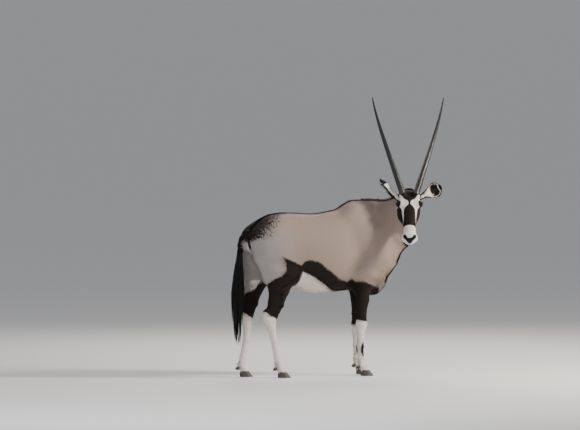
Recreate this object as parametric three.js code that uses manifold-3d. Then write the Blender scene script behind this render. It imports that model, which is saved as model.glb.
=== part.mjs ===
// A life-size gemsbok standing side-on and looking back over its right shoulder.
// Millimetres. +X is forward along the trunk, +Y is the animal's left, +Z is up, the floor is z = 0.
import * as THREE from 'three';
import { mergeVertices } from 'three/addons/utils/BufferGeometryUtils.js';
import Module from 'manifold-3d';

const wasm = await Module();
wasm.setup();

// Driving dimensions
const WITHERS_HEIGHT = 1200;
const GAP = 0.3;
const FINEST = 0.12;
const HEAD_YAW = THREE.MathUtils.degToRad(-112);
const HEAD_PITCH = THREE.MathUtils.degToRad(50);
const HEAD_ORIGIN = new THREE.Vector3(594, -197, 1245);
const HORN_LENGTH = 906;
const HORN_BASE = [34, 47, 50];
const HORN_SPREAD = 200;
const HORN_RINGS = 15;
const EYE_RADIUS = 17;
const EYE_PLACE = [104, 71, 20];
const CORONET_HEIGHT = 40;
const CLAW_LENGTH = 88;
const MANE_LOCKS = 18;
const TAIL_LOCKS = 12;
const TAIL_TIP_HEIGHT = 215;

// Cell sizes of the meshed flesh: along x, y and z
const CELLS = {
  torso: [49, 41, 42],
  neck: [38, 36, 37],
  head: [16.2, 16.2, 16.2],
  forearm: [24, 22, 38],
  foreShank: [17, 15.5, 35],
  gaskin: [28, 25, 38],
  hindShank: [18, 17, 38],
};

const COAT = new THREE.MeshStandardMaterial({ color: 0xa89284, roughness: 0.85 });
const DARK = new THREE.MeshStandardMaterial({ color: 0x2a211d, roughness: 0.85 });
const WHITE = new THREE.MeshStandardMaterial({ color: 0xd9d2c8, roughness: 0.85 });
const HORN = new THREE.MeshStandardMaterial({ color: 0x2b2724, roughness: 0.45 });
const HOOF = new THREE.MeshStandardMaterial({ color: 0x1d1916, roughness: 0.5 });
const EYE = new THREE.MeshStandardMaterial({ color: 0x140d09, roughness: 0.08 });

// Smooth interpolation through rows of [x, a, b, ...]: one value for each column after x.
function profile(rows) {
  const slopes = rows.map((row, i) => {
    const before = rows[Math.max(i - 1, 0)];
    const after = rows[Math.min(i + 1, rows.length - 1)];
    return row.map((v, c) => (after[c] - before[c]) / (after[0] - before[0]));
  });
  return (x, column) => {
    const first = rows[0];
    const last = rows[rows.length - 1];
    const inside = Math.min(Math.max(x, first[0]), last[0]);
    let i = 0;
    while (i < rows.length - 2 && inside > rows[i + 1][0]) i += 1;
    const span = rows[i + 1][0] - rows[i][0];
    const t = (inside - rows[i][0]) / span;
    const h = t * t * (3 - 2 * t);
    return rows[i][column] * (1 - h) + rows[i + 1][column] * h
      + span * (slopes[i][column] * t * (1 - t) * (1 - t) - slopes[i + 1][column] * t * t * (1 - t));
  };
}

// Distance fields, about zero on the surface and negative inside
const smooth = (a, b, reach) => {
  const h = Math.max(reach - Math.abs(a - b), 0) / reach;
  return Math.min(a, b) - (h * h * reach) / 4;
};

function ellipsoid(centre, radii) {
  const least = Math.min(...radii);
  return (x, y, z) => {
    const dx = (x - centre[0]) / radii[0];
    const dy = (y - centre[1]) / radii[1];
    const dz = (z - centre[2]) / radii[2];
    return (Math.sqrt(dx * dx + dy * dy + dz * dz) - 1) * least;
  };
}

// A tube through stations [x, y, z, radius along face, radius across].
// Its face is the direction of its first radius.
function tube(stations, face, reach) {
  const pieces = [];
  for (let i = 0; i < stations.length - 1; i += 1) {
    const a = new THREE.Vector3(...stations[i]);
    const b = new THREE.Vector3(...stations[i + 1]);
    const along = b.clone().sub(a);
    const length = along.length();
    along.normalize();
    const first = new THREE.Vector3(...face);
    first.addScaledVector(along, -along.dot(first)).normalize();
    const second = new THREE.Vector3().crossVectors(along, first);
    const ra = stations[i].slice(3);
    const rb = stations[i + 1].slice(3);
    pieces.push({ a, along, length, first, second, ra, rb });
  }
  return (x, y, z) => {
    let d = Infinity;
    for (const s of pieces) {
      const px = x - s.a.x;
      const py = y - s.a.y;
      const pz = z - s.a.z;
      const q = px * s.along.x + py * s.along.y + pz * s.along.z;
      const t = Math.min(Math.max(q / s.length, 0), 1);
      const over = q - t * s.length;
      const u = px * s.first.x + py * s.first.y + pz * s.first.z;
      const v = px * s.second.x + py * s.second.y + pz * s.second.z;
      const r1 = s.ra[0] + (s.rb[0] - s.ra[0]) * t;
      const r2 = s.ra[1] + (s.rb[1] - s.ra[1]) * t;
      const least = Math.min(r1, r2);
      const rho = Math.sqrt((u / r1) ** 2 + (v / r2) ** 2 + (over / least) ** 2);
      d = d === Infinity ? (rho - 1) * least : smooth(d, (rho - 1) * least, reach);
    }
    return d;
  };
}

// A body with a top and a bottom line and a half width along x.
// Its rows are [x, top, bottom, half width, height of the widest line].
function hull(rows, upperPower, lowerPower) {
  const at = profile(rows);
  const low = rows[0][0];
  const high = rows[rows.length - 1][0];
  return (x, y, z) => {
    const inside = Math.min(Math.max(x, low), high);
    const wide = at(inside, 4);
    const half = at(inside, 3);
    const up = z > wide;
    const reach = up ? at(inside, 1) - wide : wide - at(inside, 2);
    const power = up ? upperPower : lowerPower;
    const ring = (Math.abs(y / half) ** power + Math.abs((z - wide) / reach) ** power) ** (1 / power);
    const over = (x - inside) / Math.min(half, reach);
    return (Math.sqrt(ring * ring + over * over) - 1) * Math.min(half, reach);
  };
}

// Trunk: x, back line, belly line, half width, height of the widest line
const TRUNK = [
  [-520, 985, 850, 60, 930],
  [-470, 1044, 800, 112, 920],
  [-400, 1098, 740, 152, 915],
  [-300, 1120, 655, 182, 890],
  [-190, 1120, 603, 203, 850],
  [-45, 1113, 564, 218, 815],
  [100, 1134, 574, 212, 815],
  [240, WITHERS_HEIGHT - 32, 584, 176, 830],
  [350, WITHERS_HEIGHT - 36, 568, 150, 830],
  [420, 1132, 580, 120, 830],
  [468, 1076, 650, 82, 840],
];

// Neck: x, y, z, radius up and down, radius across. It leans forward and bends to the right.
const NECK = [
  [330, 0, 925, 262, 150],
  [440, -5, 960, 222, 132],
  [530, -30, 1026, 174, 112],
  [585, -80, 1090, 132, 92],
  [608, -135, 1142, 106, 80],
];

// Head in its own frame: x runs to the nose, z out of the forehead. Rows as for the trunk.
const SKULL = [
  [-25, 18, -70, 46, -20],
  [10, 46, -92, 65, -10],
  [56, 55, -104, 74, -8],
  [106, 51, -110, 74, -8],
  [156, 40, -114, 64, -22],
  [212, 23, -109, 52, -38],
  [266, 5, -101, 44, -50],
  [312, -7, -97, 47, -56],
  [342, -18, -95, 47, -60],
  [364, -36, -88, 33, -64],
];

// Legs. Joints: x, y, z, radius front to back, radius across.
// The left leg mirrors the right leg's y.
const FORE_LEGS = {
  right: { side: -1, shift: 0 },
  left: { side: 1, shift: 46 },
};
const SHOULDER = [
  [215, 66, 1085, 62, 42],
  [300, 118, 960, 92, 56],
  [395, 118, 800, 96, 60],
  [330, 122, 710, 92, 52],
];
const FORE_LEG = [
  [300, 112, 700, 92, 52],
  [282, 108, 620, 68, 46],
  [288, 102, 520, 49, 37],
  [281, 97, 420, 37, 30],
  [284, 95, 352, 42, 35],
  [277, 95, 300, 30, 27],
  [276, 95, 200, 24, 20],
  [279, 95, 115, 24, 21],
  [287, 95, 72, 30, 26],
  [305, 95, 44, 25, 27],
  [316, 95, 28, 24, 28],
];
// The hind legs are placed apart, so each has its own joints.
const HIND_LEGS = {
  right: {
    side: -1,
    thigh: [[-380, 92, 985, 126, 78], [-325, 122, 860, 126, 76], [-280, 132, 735, 92, 62]],
    buttock: [[-442, 76, 950, 80, 62], [-428, 94, 830, 82, 60], [-378, 108, 700, 80, 52]],
    leg: [
      [-310, 128, 715, 112, 58],
      [-338, 120, 600, 78, 46],
      [-356, 114, 510, 60, 38],
      [-388, 110, 430, 49, 31],
      [-396, 109, 395, 45, 32],
      [-388, 109, 345, 32, 26],
      [-368, 108, 250, 25, 21],
      [-346, 107, 140, 25, 21],
      [-331, 106, 76, 30, 27],
      [-310, 106, 46, 25, 28],
      [-299, 106, 28, 24, 29],
    ],
    heel: [[-425, 110, 452, 22, 15], [-432, 110, 424, 23, 17], [-406, 110, 380, 26, 22]],
  },
  left: {
    side: 1,
    thigh: [[-385, 92, 985, 126, 78], [-365, 122, 860, 126, 76], [-352, 130, 735, 92, 62]],
    buttock: [[-440, 76, 950, 80, 62], [-446, 94, 830, 82, 60], [-440, 106, 700, 78, 52]],
    leg: [
      [-385, 124, 715, 108, 58],
      [-436, 114, 600, 74, 46],
      [-456, 107, 510, 58, 38],
      [-480, 103, 430, 47, 31],
      [-484, 101, 392, 43, 32],
      [-482, 100, 342, 31, 26],
      [-492, 99, 250, 25, 21],
      [-514, 98, 140, 25, 21],
      [-526, 98, 76, 30, 27],
      [-508, 98, 46, 25, 28],
      [-498, 98, 28, 24, 29],
    ],
    heel: [[-514, 103, 452, 22, 15], [-519, 102, 424, 23, 17], [-492, 101, 380, 26, 22]],
  },
};

const mirrored = (rows, side, shift = 0) => rows.map(([x, y, ...rest]) => [x + shift, y * side, ...rest]);

// The head's frame
const headFrame = new THREE.Group();
headFrame.position.copy(HEAD_ORIGIN);
headFrame.rotation.set(0, HEAD_PITCH, HEAD_YAW, 'ZYX');
headFrame.updateMatrixWorld(true);
const toHead = headFrame.matrixWorld.clone().invert();

function headField() {
  const core = hull(SKULL, 2.3, 2.5);
  const forms = [];
  for (const side of [-1, 1]) {
    forms.push([ellipsoid([102, side * 60, 20], [34, 24, 27]), 22]);
    forms.push([ellipsoid([106, side * 48, -56], [70, 24, 45]), 26]);
    forms.push([ellipsoid([338, side * 27, -60], [30, 30, 32]), 18]);
    forms.push([ellipsoid([34, side * 46, 44], [34, 28, 26]), 22]);
    forms.push([ellipsoid([22, side * 66, -4], [26, 22, 24]), 20]);
  }
  forms.push([ellipsoid([336, 0, -84], [32, 30, 20]), 14]);
  const p = new THREE.Vector3();
  return (x, y, z) => {
    p.set(x, y, z).applyMatrix4(toHead);
    let d = core(p.x, p.y, p.z);
    for (const [form, reach] of forms) d = smooth(d, form(p.x, p.y, p.z), reach);
    return d;
  };
}

// The whole animal's flesh as one field
const FRONT = [1, 0, 0];
const UP = [0, 0, 1];
const masses = [[tube(NECK, UP, 40), 70], [headField(), 34]];
for (const { side, shift } of Object.values(FORE_LEGS)) {
  masses.push([tube(mirrored(SHOULDER, side), FRONT, 30), 60]);
  masses.push([tube(mirrored(FORE_LEG, side, shift), FRONT, 10), 46]);
}
for (const { side, thigh, buttock, leg, heel } of Object.values(HIND_LEGS)) {
  masses.push([tube(mirrored(thigh, side), FRONT, 30), 60]);
  masses.push([tube(mirrored(buttock, side), FRONT, 24), 50]);
  masses.push([tube(mirrored(leg, side), FRONT, 10), 46]);
  masses.push([tube(mirrored(heel, side), FRONT, 10), 26]);
}
masses.push([ellipsoid([408, 0, 628], [72, 64, 60]), 60]);
const trunk = hull(TRUNK, 2.1, 2.3);
function flesh(x, y, z) {
  let d = trunk(x, y, z);
  for (const [mass, reach] of masses) d = smooth(d, mass(x, y, z), reach);
  return d;
}

// Meshing: one vertex for each cell that the surface crosses, moved onto the surface.
function surfaceOf(field, low, high, cell) {
  const n = low.map((v, i) => Math.ceil((high[i] - v) / cell[i]) + 2);
  const margin = cell.map((c) => c * 0.4);
  const boxed = (x, y, z) => Math.max(
    field(x, y, z),
    low[0] + margin[0] - x, x - high[0] + margin[0],
    low[1] + margin[1] - y, y - high[1] + margin[1],
    low[2] + margin[2] - z, z - high[2] + margin[2],
  );
  const corner = (i, j, k) => (k * n[1] + j) * n[0] + i;
  const values = new Float64Array(n[0] * n[1] * n[2]);
  for (let k = 0; k < n[2]; k += 1) {
    for (let j = 0; j < n[1]; j += 1) {
      for (let i = 0; i < n[0]; i += 1) {
        values[corner(i, j, k)] = boxed(low[0] + i * cell[0], low[1] + j * cell[1], low[2] + k * cell[2]);
      }
    }
  }
  const positions = [];
  const vertexOf = new Map();
  const step = [[1, 0, 0], [0, 1, 0], [0, 0, 1]];
  for (let k = 0; k < n[2] - 1; k += 1) {
    for (let j = 0; j < n[1] - 1; j += 1) {
      for (let i = 0; i < n[0] - 1; i += 1) {
        const sum = [0, 0, 0];
        let crossings = 0;
        for (let axis = 0; axis < 3; axis += 1) {
          const [b, c] = [(axis + 1) % 3, (axis + 2) % 3];
          for (let m = 0; m < 4; m += 1) {
            const at = [0, 0, 0];
            at[b] = m & 1;
            at[c] = m >> 1;
            const from = values[corner(i + at[0], j + at[1], k + at[2])];
            const [si, sj, sk] = step[axis];
            const to = values[corner(i + at[0] + si, j + at[1] + sj, k + at[2] + sk)];
            if (from < 0 === to < 0) continue;
            const t = from / (from - to);
            for (let q = 0; q < 3; q += 1) sum[q] += at[q] + (q === axis ? t : 0);
            crossings += 1;
          }
        }
        if (!crossings) continue;
        const p = [i, j, k].map((v, q) => low[q] + (v + sum[q] / crossings) * cell[q]);
        settle(p, boxed, cell);
        vertexOf.set(corner(i, j, k), positions.length / 3);
        positions.push(...p);
      }
    }
  }
  const indices = [];
  for (let k = 0; k < n[2] - 1; k += 1) {
    for (let j = 0; j < n[1] - 1; j += 1) {
      for (let i = 0; i < n[0] - 1; i += 1) {
        const here = values[corner(i, j, k)] < 0;
        for (let axis = 0; axis < 3; axis += 1) {
          const [si, sj, sk] = step[axis];
          if (![i, j, k].every((v, q) => q === axis || v > 0)) continue;
          if (values[corner(i + si, j + sj, k + sk)] < 0 === here) continue;
          const [b, c] = [step[(axis + 1) % 3], step[(axis + 2) % 3]];
          const quad = [[0, 0], [1, 0], [1, 1], [0, 1]].map(([u, v]) => vertexOf.get(
            corner(i - u * b[0] - v * c[0], j - u * b[1] - v * c[1], k - u * b[2] - v * c[2]),
          ));
          if (!here) quad.reverse();
          indices.push(quad[0], quad[1], quad[2], quad[0], quad[2], quad[3]);
        }
      }
    }
  }
  const geometry = new THREE.BufferGeometry();
  geometry.setAttribute('position', new THREE.Float32BufferAttribute(positions, 3));
  geometry.setIndex(indices);
  geometry.userData.joined = true;
  return geometry;
}

// Moves a point along the field's slope towards its surface, by less than half a cell.
function settle(p, field, cell) {
  const e = 0.5;
  const most = Math.min(...cell) * 0.45;
  const start = [...p];
  for (let round = 0; round < 3; round += 1) {
    const d = field(...p);
    const g = [
      field(p[0] + e, p[1], p[2]) - field(p[0] - e, p[1], p[2]),
      field(p[0], p[1] + e, p[2]) - field(p[0], p[1] - e, p[2]),
      field(p[0], p[1], p[2] + e) - field(p[0], p[1], p[2] - e),
    ].map((v) => v / (2 * e));
    const g2 = g[0] * g[0] + g[1] * g[1] + g[2] * g[2] + 1e-6;
    for (let q = 0; q < 3; q += 1) {
      p[q] = Math.min(Math.max(p[q] - (d * g[q]) / g2, start[q] - most), start[q] + most);
    }
  }
}

// Solids: closed meshes that can be joined and cut
function solid(geometry, matrix) {
  const plain = geometry.clone();
  for (const name of Object.keys(plain.attributes)) {
    if (name !== 'position') plain.deleteAttribute(name);
  }
  if (matrix) plain.applyMatrix4(matrix);
  const merged = geometry.userData.joined ? plain : mergeVertices(plain, 1e-3);
  return new wasm.Manifold(new wasm.Mesh({
    numProp: 3,
    vertProperties: merged.attributes.position.array,
    triVerts: new Uint32Array(merged.index.array),
  }));
}

function box(low, high, matrix) {
  const size = high.map((v, i) => v - low[i]);
  const geometry = new THREE.BoxGeometry(...size);
  geometry.translate(...low.map((v, i) => v + size[i] / 2));
  return solid(geometry, matrix);
}

// Everything on the side of a plane that its normal points to
function beyond(point, normal, offset = 0) {
  const far = 3000;
  const n = new THREE.Vector3(...normal).normalize();
  const turn = new THREE.Matrix4().makeRotationFromQuaternion(
    new THREE.Quaternion().setFromUnitVectors(new THREE.Vector3(0, 0, 1), n),
  );
  turn.setPosition(new THREE.Vector3(...point).addScaledVector(n, offset));
  return box([-far, -far, 0], [far, far, far], turn);
}

function largest(body) {
  return body.decompose().sort((a, b) => b.volume() - a.volume())[0];
}

// A closed body through rings of the same number of points, the first and the last closed by a fan.
function loft(rings) {
  const count = rings[0].length;
  const positions = [];
  rings.forEach((ring) => ring.forEach((p) => positions.push(p.x, p.y, p.z)));
  const centre = (ring) => ring.reduce((sum, p) => sum.add(p), new THREE.Vector3()).divideScalar(count);
  const ends = [centre(rings[0]), centre(rings[rings.length - 1])];
  ends.forEach((p) => positions.push(p.x, p.y, p.z));
  const first = rings.length * count;
  const indices = [];
  for (let i = 0; i < count; i += 1) {
    const j = (i + 1) % count;
    for (let r = 0; r < rings.length - 1; r += 1) {
      const a = r * count;
      const b = a + count;
      indices.push(a + i, a + j, b + j, a + i, b + j, b + i);
    }
    const last = (rings.length - 1) * count;
    indices.push(first, j, i, first + 1, last + i, last + j);
  }
  const geometry = new THREE.BufferGeometry();
  geometry.setAttribute('position', new THREE.Float32BufferAttribute(positions, 3));
  geometry.setIndex(indices);
  geometry.userData.joined = true;
  const body = solid(geometry);
  if (body.volume() >= 0) return body;
  geometry.setIndex(indices.reverse());
  return solid(geometry);
}

// A ring of points round a centre: each point is centre + first * cos + second * sin
function ring(centre, first, second, count, start = 0) {
  return Array.from({ length: count }, (_, i) => {
    const angle = start + (2 * Math.PI * i) / count;
    return centre.clone().addScaledVector(first, Math.cos(angle)).addScaledVector(second, Math.sin(angle));
  });
}

const vec = (...v) => new THREE.Vector3(...v);
const mix = (a, b, t) => a + (b - a) * t;

// A pointed lens of hair: a flat lock along a path, with its flat side facing out
function lock(path, facing, width, thickness, shape) {
  const rings = path.map((p, i) => {
    const before = path[Math.max(i - 1, 0)];
    const after = path[Math.min(i + 1, path.length - 1)];
    const along = after.clone().sub(before).normalize();
    const out = facing.clone().addScaledVector(along, -along.dot(facing)).normalize();
    const across = vec().crossVectors(along, out);
    const share = shape(i / (path.length - 1));
    across.multiplyScalar((width * share) / 2);
    out.multiplyScalar((thickness * share) / 2);
    return ring(p, across, out, 4);
  });
  return loft(rings);
}

// A seeded draw between 0 and 1
let seed = 7;
function draw() {
  seed = (seed * 16807) % 2147483647;
  return seed / 2147483647;
}

const group = new THREE.Group();
function addNode(name, body, material) {
  const { vertProperties, triVerts } = largest(body).simplify(FINEST).getMesh();
  const geometry = new THREE.BufferGeometry();
  geometry.setAttribute('position', new THREE.Float32BufferAttribute(vertProperties, 3));
  geometry.setIndex([...triVerts]);
  geometry.computeVertexNormals();
  const mesh = new THREE.Mesh(geometry, material);
  mesh.name = name;
  group.add(mesh);
}

// Cuts between the parts of the body
const NECK_CUT = { point: [425, 0, 950], normal: [0.94, 0, 0.34] };
const HEAD_BOX = [[-34, -118, -128], [440, 118, 110]];
const FORE_BOX = { low: [160, 46, -20], high: [420, 330, 632] };
const HIND_PLANE = { point: [-190, 0, 655], normal: [-0.3, 0, -0.95] };
const HIND_BOX = { low: [-700, 14, -20], high: [-205, 330, 800] };
const SHANK_TOP = { fore: 385, hind: 462 };

const grown = (low, high, by) => [low.map((v) => v - by), high.map((v) => v + by)];
const headBox = (by) => box(...grown(...HEAD_BOX, by), headFrame.matrixWorld);
function legBox({ low, high }, side, by) {
  const [a, b] = grown(low, high, by);
  return side > 0 ? box(a, b) : box([a[0], -b[1], a[2]], [b[0], -a[1], b[2]]);
}
const foreRegion = (side, by) => legBox(FORE_BOX, side, by);
const hindRegion = (side, by) => legBox(HIND_BOX, side, by)
  .intersect(beyond(HIND_PLANE.point, HIND_PLANE.normal, -by));

// A round bar from a point along a direction
function bar(from, direction, radius, length) {
  const turn = new THREE.Matrix4().makeRotationFromQuaternion(
    new THREE.Quaternion().setFromUnitVectors(vec(0, 1, 0), direction.clone().normalize()),
  );
  turn.setPosition(from.clone().addScaledVector(direction.clone().normalize(), length / 2));
  return solid(new THREE.CylinderGeometry(radius, radius, length, 14), turn);
}

// Tail: the dock's line and the hanging hair
const DOCK = [
  { at: [-524, 0, 985], radius: 27 },
  { at: [-552, 0, 950], radius: 24 },
  { at: [-566, 0, 905], radius: 21 },
  { at: [-572, 0, 858], radius: 19 },
];
const DOCK_SEAT = 36;
const dockDirection = vec(-0.72, 0, -0.69).normalize();
const TUFT_TOP = 858;
const TUFT_ENVELOPE = profile([
  [TAIL_TIP_HEIGHT, 12], [300, 34], [400, 45], [500, 54], [590, 60], [700, 46], [800, 28], [TUFT_TOP, 20],
]);
const tuftMiddle = (z) => -572 - 18 * Math.sin((Math.PI * (TUFT_TOP - z)) / 900);

// The dock, made thicker by a distance to cut its seat
function tailDock(by = 0) {
  const line = new THREE.CatmullRomCurve3(DOCK.map(({ at }) => vec(...at)));
  const steps = 8;
  const rings = Array.from({ length: steps + 1 }, (_, i) => {
    const t = i / steps;
    const along = i ? line.getTangent(t) : dockDirection.clone();
    if (i === steps) along.set(0, 0, -1);
    const across = vec(0, 1, 0);
    const back = vec().crossVectors(along, across).normalize();
    const station = Math.min(Math.floor(t * 3), 2);
    const r = mix(DOCK[station].radius, DOCK[station + 1].radius, t * 3 - station) + by;
    const at = i ? line.getPoint(t) : vec(...DOCK[0].at).addScaledVector(dockDirection, GAP);
    if (i === steps) at.z += GAP / 2;
    return ring(at, across.multiplyScalar(r), back.multiplyScalar(r * 0.8), 12);
  });
  return loft(rings);
}

// Hair along the crest of the neck, from behind the poll to the withers
const MANE_LOCK = { width: 30, thickness: 13, rise: 12, reach: 38, depth: 15 };
function mane(count) {
  const crest = new THREE.CatmullRomCurve3([
    vec(200, 0, 0), vec(330, 0, 0), vec(440, 2, 0), vec(520, -14, 0), vec(572, -62, 0), vec(592, -112, 0),
  ]);
  const locks = [];
  for (let i = 0; i < count; i += 1) {
    const t = i / (count - 1);
    const at = crest.getPointAt(t);
    const along = crest.getTangentAt(t).negate();
    let z = WITHERS_HEIGHT + 100;
    while (flesh(at.x, at.y, z) > 0) z -= 1;
    const height = (8 + 8 * Math.sin(Math.PI * t)) * mix(0.85, 1.15, draw());
    const { width, thickness, rise, reach, depth } = MANE_LOCK;
    const root = vec(at.x, at.y, z - depth);
    const path = [
      root,
      root.clone().addScaledVector(along, reach / 3).add(vec(0, mix(-2, 2, draw()), rise + height * 0.5)),
      root.clone().addScaledVector(along, reach).add(vec(0, mix(-4, 4, draw()), rise + height)),
    ];
    const across = vec().crossVectors(along, vec(0, 0, 1)).normalize();
    locks.push(lock(path, across, width, thickness, (u) => mix(1, 0.16, u ** 1.6)));
  }
  return locks;
}

function torso(hair) {
  const whole = solid(surfaceOf(flesh, [-660, -290, 480], [640, 290, 1260], CELLS.torso));
  let body = wasm.Manifold.union([whole, ...hair]);
  body = body.subtract(beyond(NECK_CUT.point, NECK_CUT.normal, -GAP / 2));
  for (const side of [-1, 1]) {
    body = body.subtract(foreRegion(side, GAP / 2)).subtract(hindRegion(side, GAP / 2));
  }
  return body.subtract(bar(vec(...DOCK[0].at), dockDirection, DOCK_SEAT, 90)).subtract(tailDock(2 * GAP));
}

function neck(hair) {
  const whole = solid(surfaceOf(flesh, [290, -300, 560], [790, 200, 1330], CELLS.neck));
  return wasm.Manifold.union([whole, ...hair])
    .intersect(beyond(NECK_CUT.point, NECK_CUT.normal, GAP / 2))
    .subtract(headBox(GAP / 2));
}

const inHead = (...v) => vec(...v).applyMatrix4(headFrame.matrixWorld);
const headWay = (...v) => vec(...v).transformDirection(headFrame.matrixWorld);

// The horns' line in the head's frame, s from 0 at the base to 1 at the tip
function hornPoint(side, s) {
  const spread = HORN_BASE[1] + HORN_SPREAD * (1.16 * s - 0.16 * s ** 4);
  const rise = HORN_BASE[2] + HORN_LENGTH * (0.05 * s - 0.07 * s * s);
  return vec(HORN_BASE[0] - HORN_LENGTH * 0.955 * s, side * spread, rise);
}
const HORN_SEAT = 31;
const hornRadius = (s) => 23 * Math.max(1 - s, 0) ** 0.78 + 3 * s;

function horn(side) {
  const sides = 8;
  const ringed = 0.56;
  const stations = [];
  for (let i = 0; i < HORN_RINGS; i += 1) {
    const s = (ringed * i) / HORN_RINGS;
    stations.push([s, 0.955], [s + (ringed * 0.45) / HORN_RINGS, 1.05]);
  }
  for (let i = 0; i <= 6; i += 1) stations.push([mix(ringed, 1, i / 6), 0.98]);
  const rings = stations.map(([s, swell]) => {
    const e = 0.005;
    const along = hornPoint(side, s + e).sub(hornPoint(side, s - e)).normalize();
    const first = vec(0, 0, 1).addScaledVector(along, -along.z).normalize();
    const second = vec().crossVectors(along, first);
    const r = hornRadius(s) * swell;
    first.multiplyScalar(r * 1.06);
    second.multiplyScalar(r * 0.94);
    return ring(hornPoint(side, s), first, second, sides)
      .map((p) => p.applyMatrix4(headFrame.matrixWorld));
  });
  return loft(rings);
}
function hornSeat(side) {
  const along = hornPoint(side, 0.01).sub(hornPoint(side, 0)).normalize();
  const start = hornPoint(side, 0).addScaledVector(along, -GAP);
  along.transformDirection(headFrame.matrixWorld);
  return bar(start.applyMatrix4(headFrame.matrixWorld), along, HORN_SEAT, 70);
}

// Ears: base, tip and the way the cup faces, in the head's frame
const EARS = {
  '-1': { base: [26, -80, 2], tip: [-104, -200, 34], cup: [0.25, -0.62, -0.3], width: 44 },
  1: { base: [26, 80, 2], tip: [-58, 222, 10], cup: [0.62, 0.1, 0.79], width: 50 },
};
const EAR_SEAT = 34;
const earWidth = (u) => 0.3 + 0.7 * Math.sin(Math.PI * Math.min(u, 1) ** 1.6) ** 1.1 - 0.25 * u ** 8;

// An ear is a sheet rolled round the cup's axis: tight at the base, open at the tip.
function ear(side) {
  const { base, tip, cup, width } = EARS[side];
  const from = inHead(...base);
  const to = inHead(...tip);
  const along = to.clone().sub(from);
  const length = along.length();
  along.normalize();
  const face = headWay(...cup);
  face.addScaledVector(along, -along.dot(face)).normalize();
  const across = vec().crossVectors(along, face);
  const rows = 7;
  const columns = 6;
  const sheet = (depth) => Array.from({ length: rows + 1 }, (_, i) => {
    const u = i / rows;
    const half = width * Math.max(earWidth(u), 0.07);
    const roll = mix(2.5, 1.15, Math.min(u * 2.2, 1));
    const thick = mix(6, 3.2, u) * depth;
    return Array.from({ length: columns + 1 }, (__, j) => {
      const angle = roll * ((2 * j) / columns - 1);
      const edge = Math.abs((2 * j) / columns - 1);
      const curve = half / Math.max(Math.sin(Math.min(roll, Math.PI / 2)), 0.5);
      const r = curve + thick * (1 - 0.55 * edge ** 3);
      return from.clone().addScaledVector(along, length * u)
        .addScaledVector(across, r * Math.sin(angle))
        .addScaledVector(face, half * 0.75 - r * Math.cos(angle));
    });
  });
  const outer = sheet(1);
  const inner = sheet(0);
  const rings = outer.map((row, i) => [...row, ...inner[i].slice().reverse()]);
  return loft(rings);
}
function earSeat(side) {
  const { base, tip } = EARS[side];
  const from = inHead(...base);
  const along = inHead(...tip).sub(from).normalize();
  return bar(from.addScaledVector(along, -GAP), along, EAR_SEAT, 60);
}

const eyeBall = (side, radius) => {
  const [x, y, z] = EYE_PLACE;
  const place = new THREE.Matrix4().makeTranslation(inHead(x, side * y, z));
  return solid(new THREE.SphereGeometry(radius, 12, 8), place);
};

// Lids: a slanted almond ring round each eye
function lids(side) {
  const [x, y, z] = EYE_PLACE;
  const turn = new THREE.Matrix4().makeRotationX((-side * Math.PI) / 2)
    .multiply(new THREE.Matrix4().makeRotationZ(side * 0.35))
    .multiply(new THREE.Matrix4().makeScale(1.12, 0.86, 1));
  turn.setPosition(vec(x, side * (y + 9), z));
  return solid(new THREE.TorusGeometry(15.5, 4.6, 5, 12), headFrame.matrixWorld.clone().multiply(turn));
}

// The mouth line: a thin slot round the lips, with solid flesh behind it
function mouthCut() {
  const slab = box([292, -80, -79], [430, 80, -76.4], headFrame.matrixWorld);
  const core = new THREE.Matrix4().makeRotationX(Math.PI / 2).setPosition(vec(310, 0, -78));
  core.multiply(new THREE.Matrix4().makeScale(52, 1, 42));
  core.premultiply(headFrame.matrixWorld);
  return slab.subtract(solid(new THREE.CylinderGeometry(1, 1, 20, 20), core));
}

function nostril(side) {
  const place = new THREE.Matrix4().makeRotationZ(side * 0.5).setPosition(vec(360, side * 22, -44));
  place.multiply(new THREE.Matrix4().makeScale(12, 5.5, 8));
  return solid(new THREE.SphereGeometry(1, 8, 6), headFrame.matrixWorld.clone().multiply(place));
}

function head() {
  const whole = solid(surfaceOf(flesh, [330, -560, 800], [800, 30, 1350], CELLS.head));
  let body = whole.intersect(headBox(-GAP / 2));
  for (const side of [-1, 1]) {
    body = body.add(lids(side)).subtract(eyeBall(side, EYE_RADIUS + GAP)).subtract(nostril(side));
    body = body.subtract(hornSeat(side)).subtract(earSeat(side));
  }
  return body.subtract(mouthCut());
}

// One leg's length between two heights, meshed inside the box from low to high
function legLength(region, { low, high, cell, floor, ceiling }) {
  return solid(surfaceOf(flesh, low, high, cell)).intersect(region)
    .intersect(box([-3000, -3000, floor + GAP / 2], [3000, 3000, ceiling - GAP / 2]));
}

// Places on a leg's list of joints: the fetlock and the coronet
const FETLOCK = 8;
const CORONET = 9;
const hoofPlace = (joints) => [joints[CORONET][0] + 2, joints[CORONET][1]];

// The two small claws behind the fetlock
function dewClaws(joints) {
  const [x, y] = joints[FETLOCK];
  return [-1, 1].map((side) => {
    const place = new THREE.Matrix4().makeTranslation(x - 27, y + side * 14, 60);
    place.multiply(new THREE.Matrix4().makeRotationY(0.5));
    place.multiply(new THREE.Matrix4().makeScale(9, 8, 15));
    return solid(new THREE.OctahedronGeometry(1, 1), place);
  });
}

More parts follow.
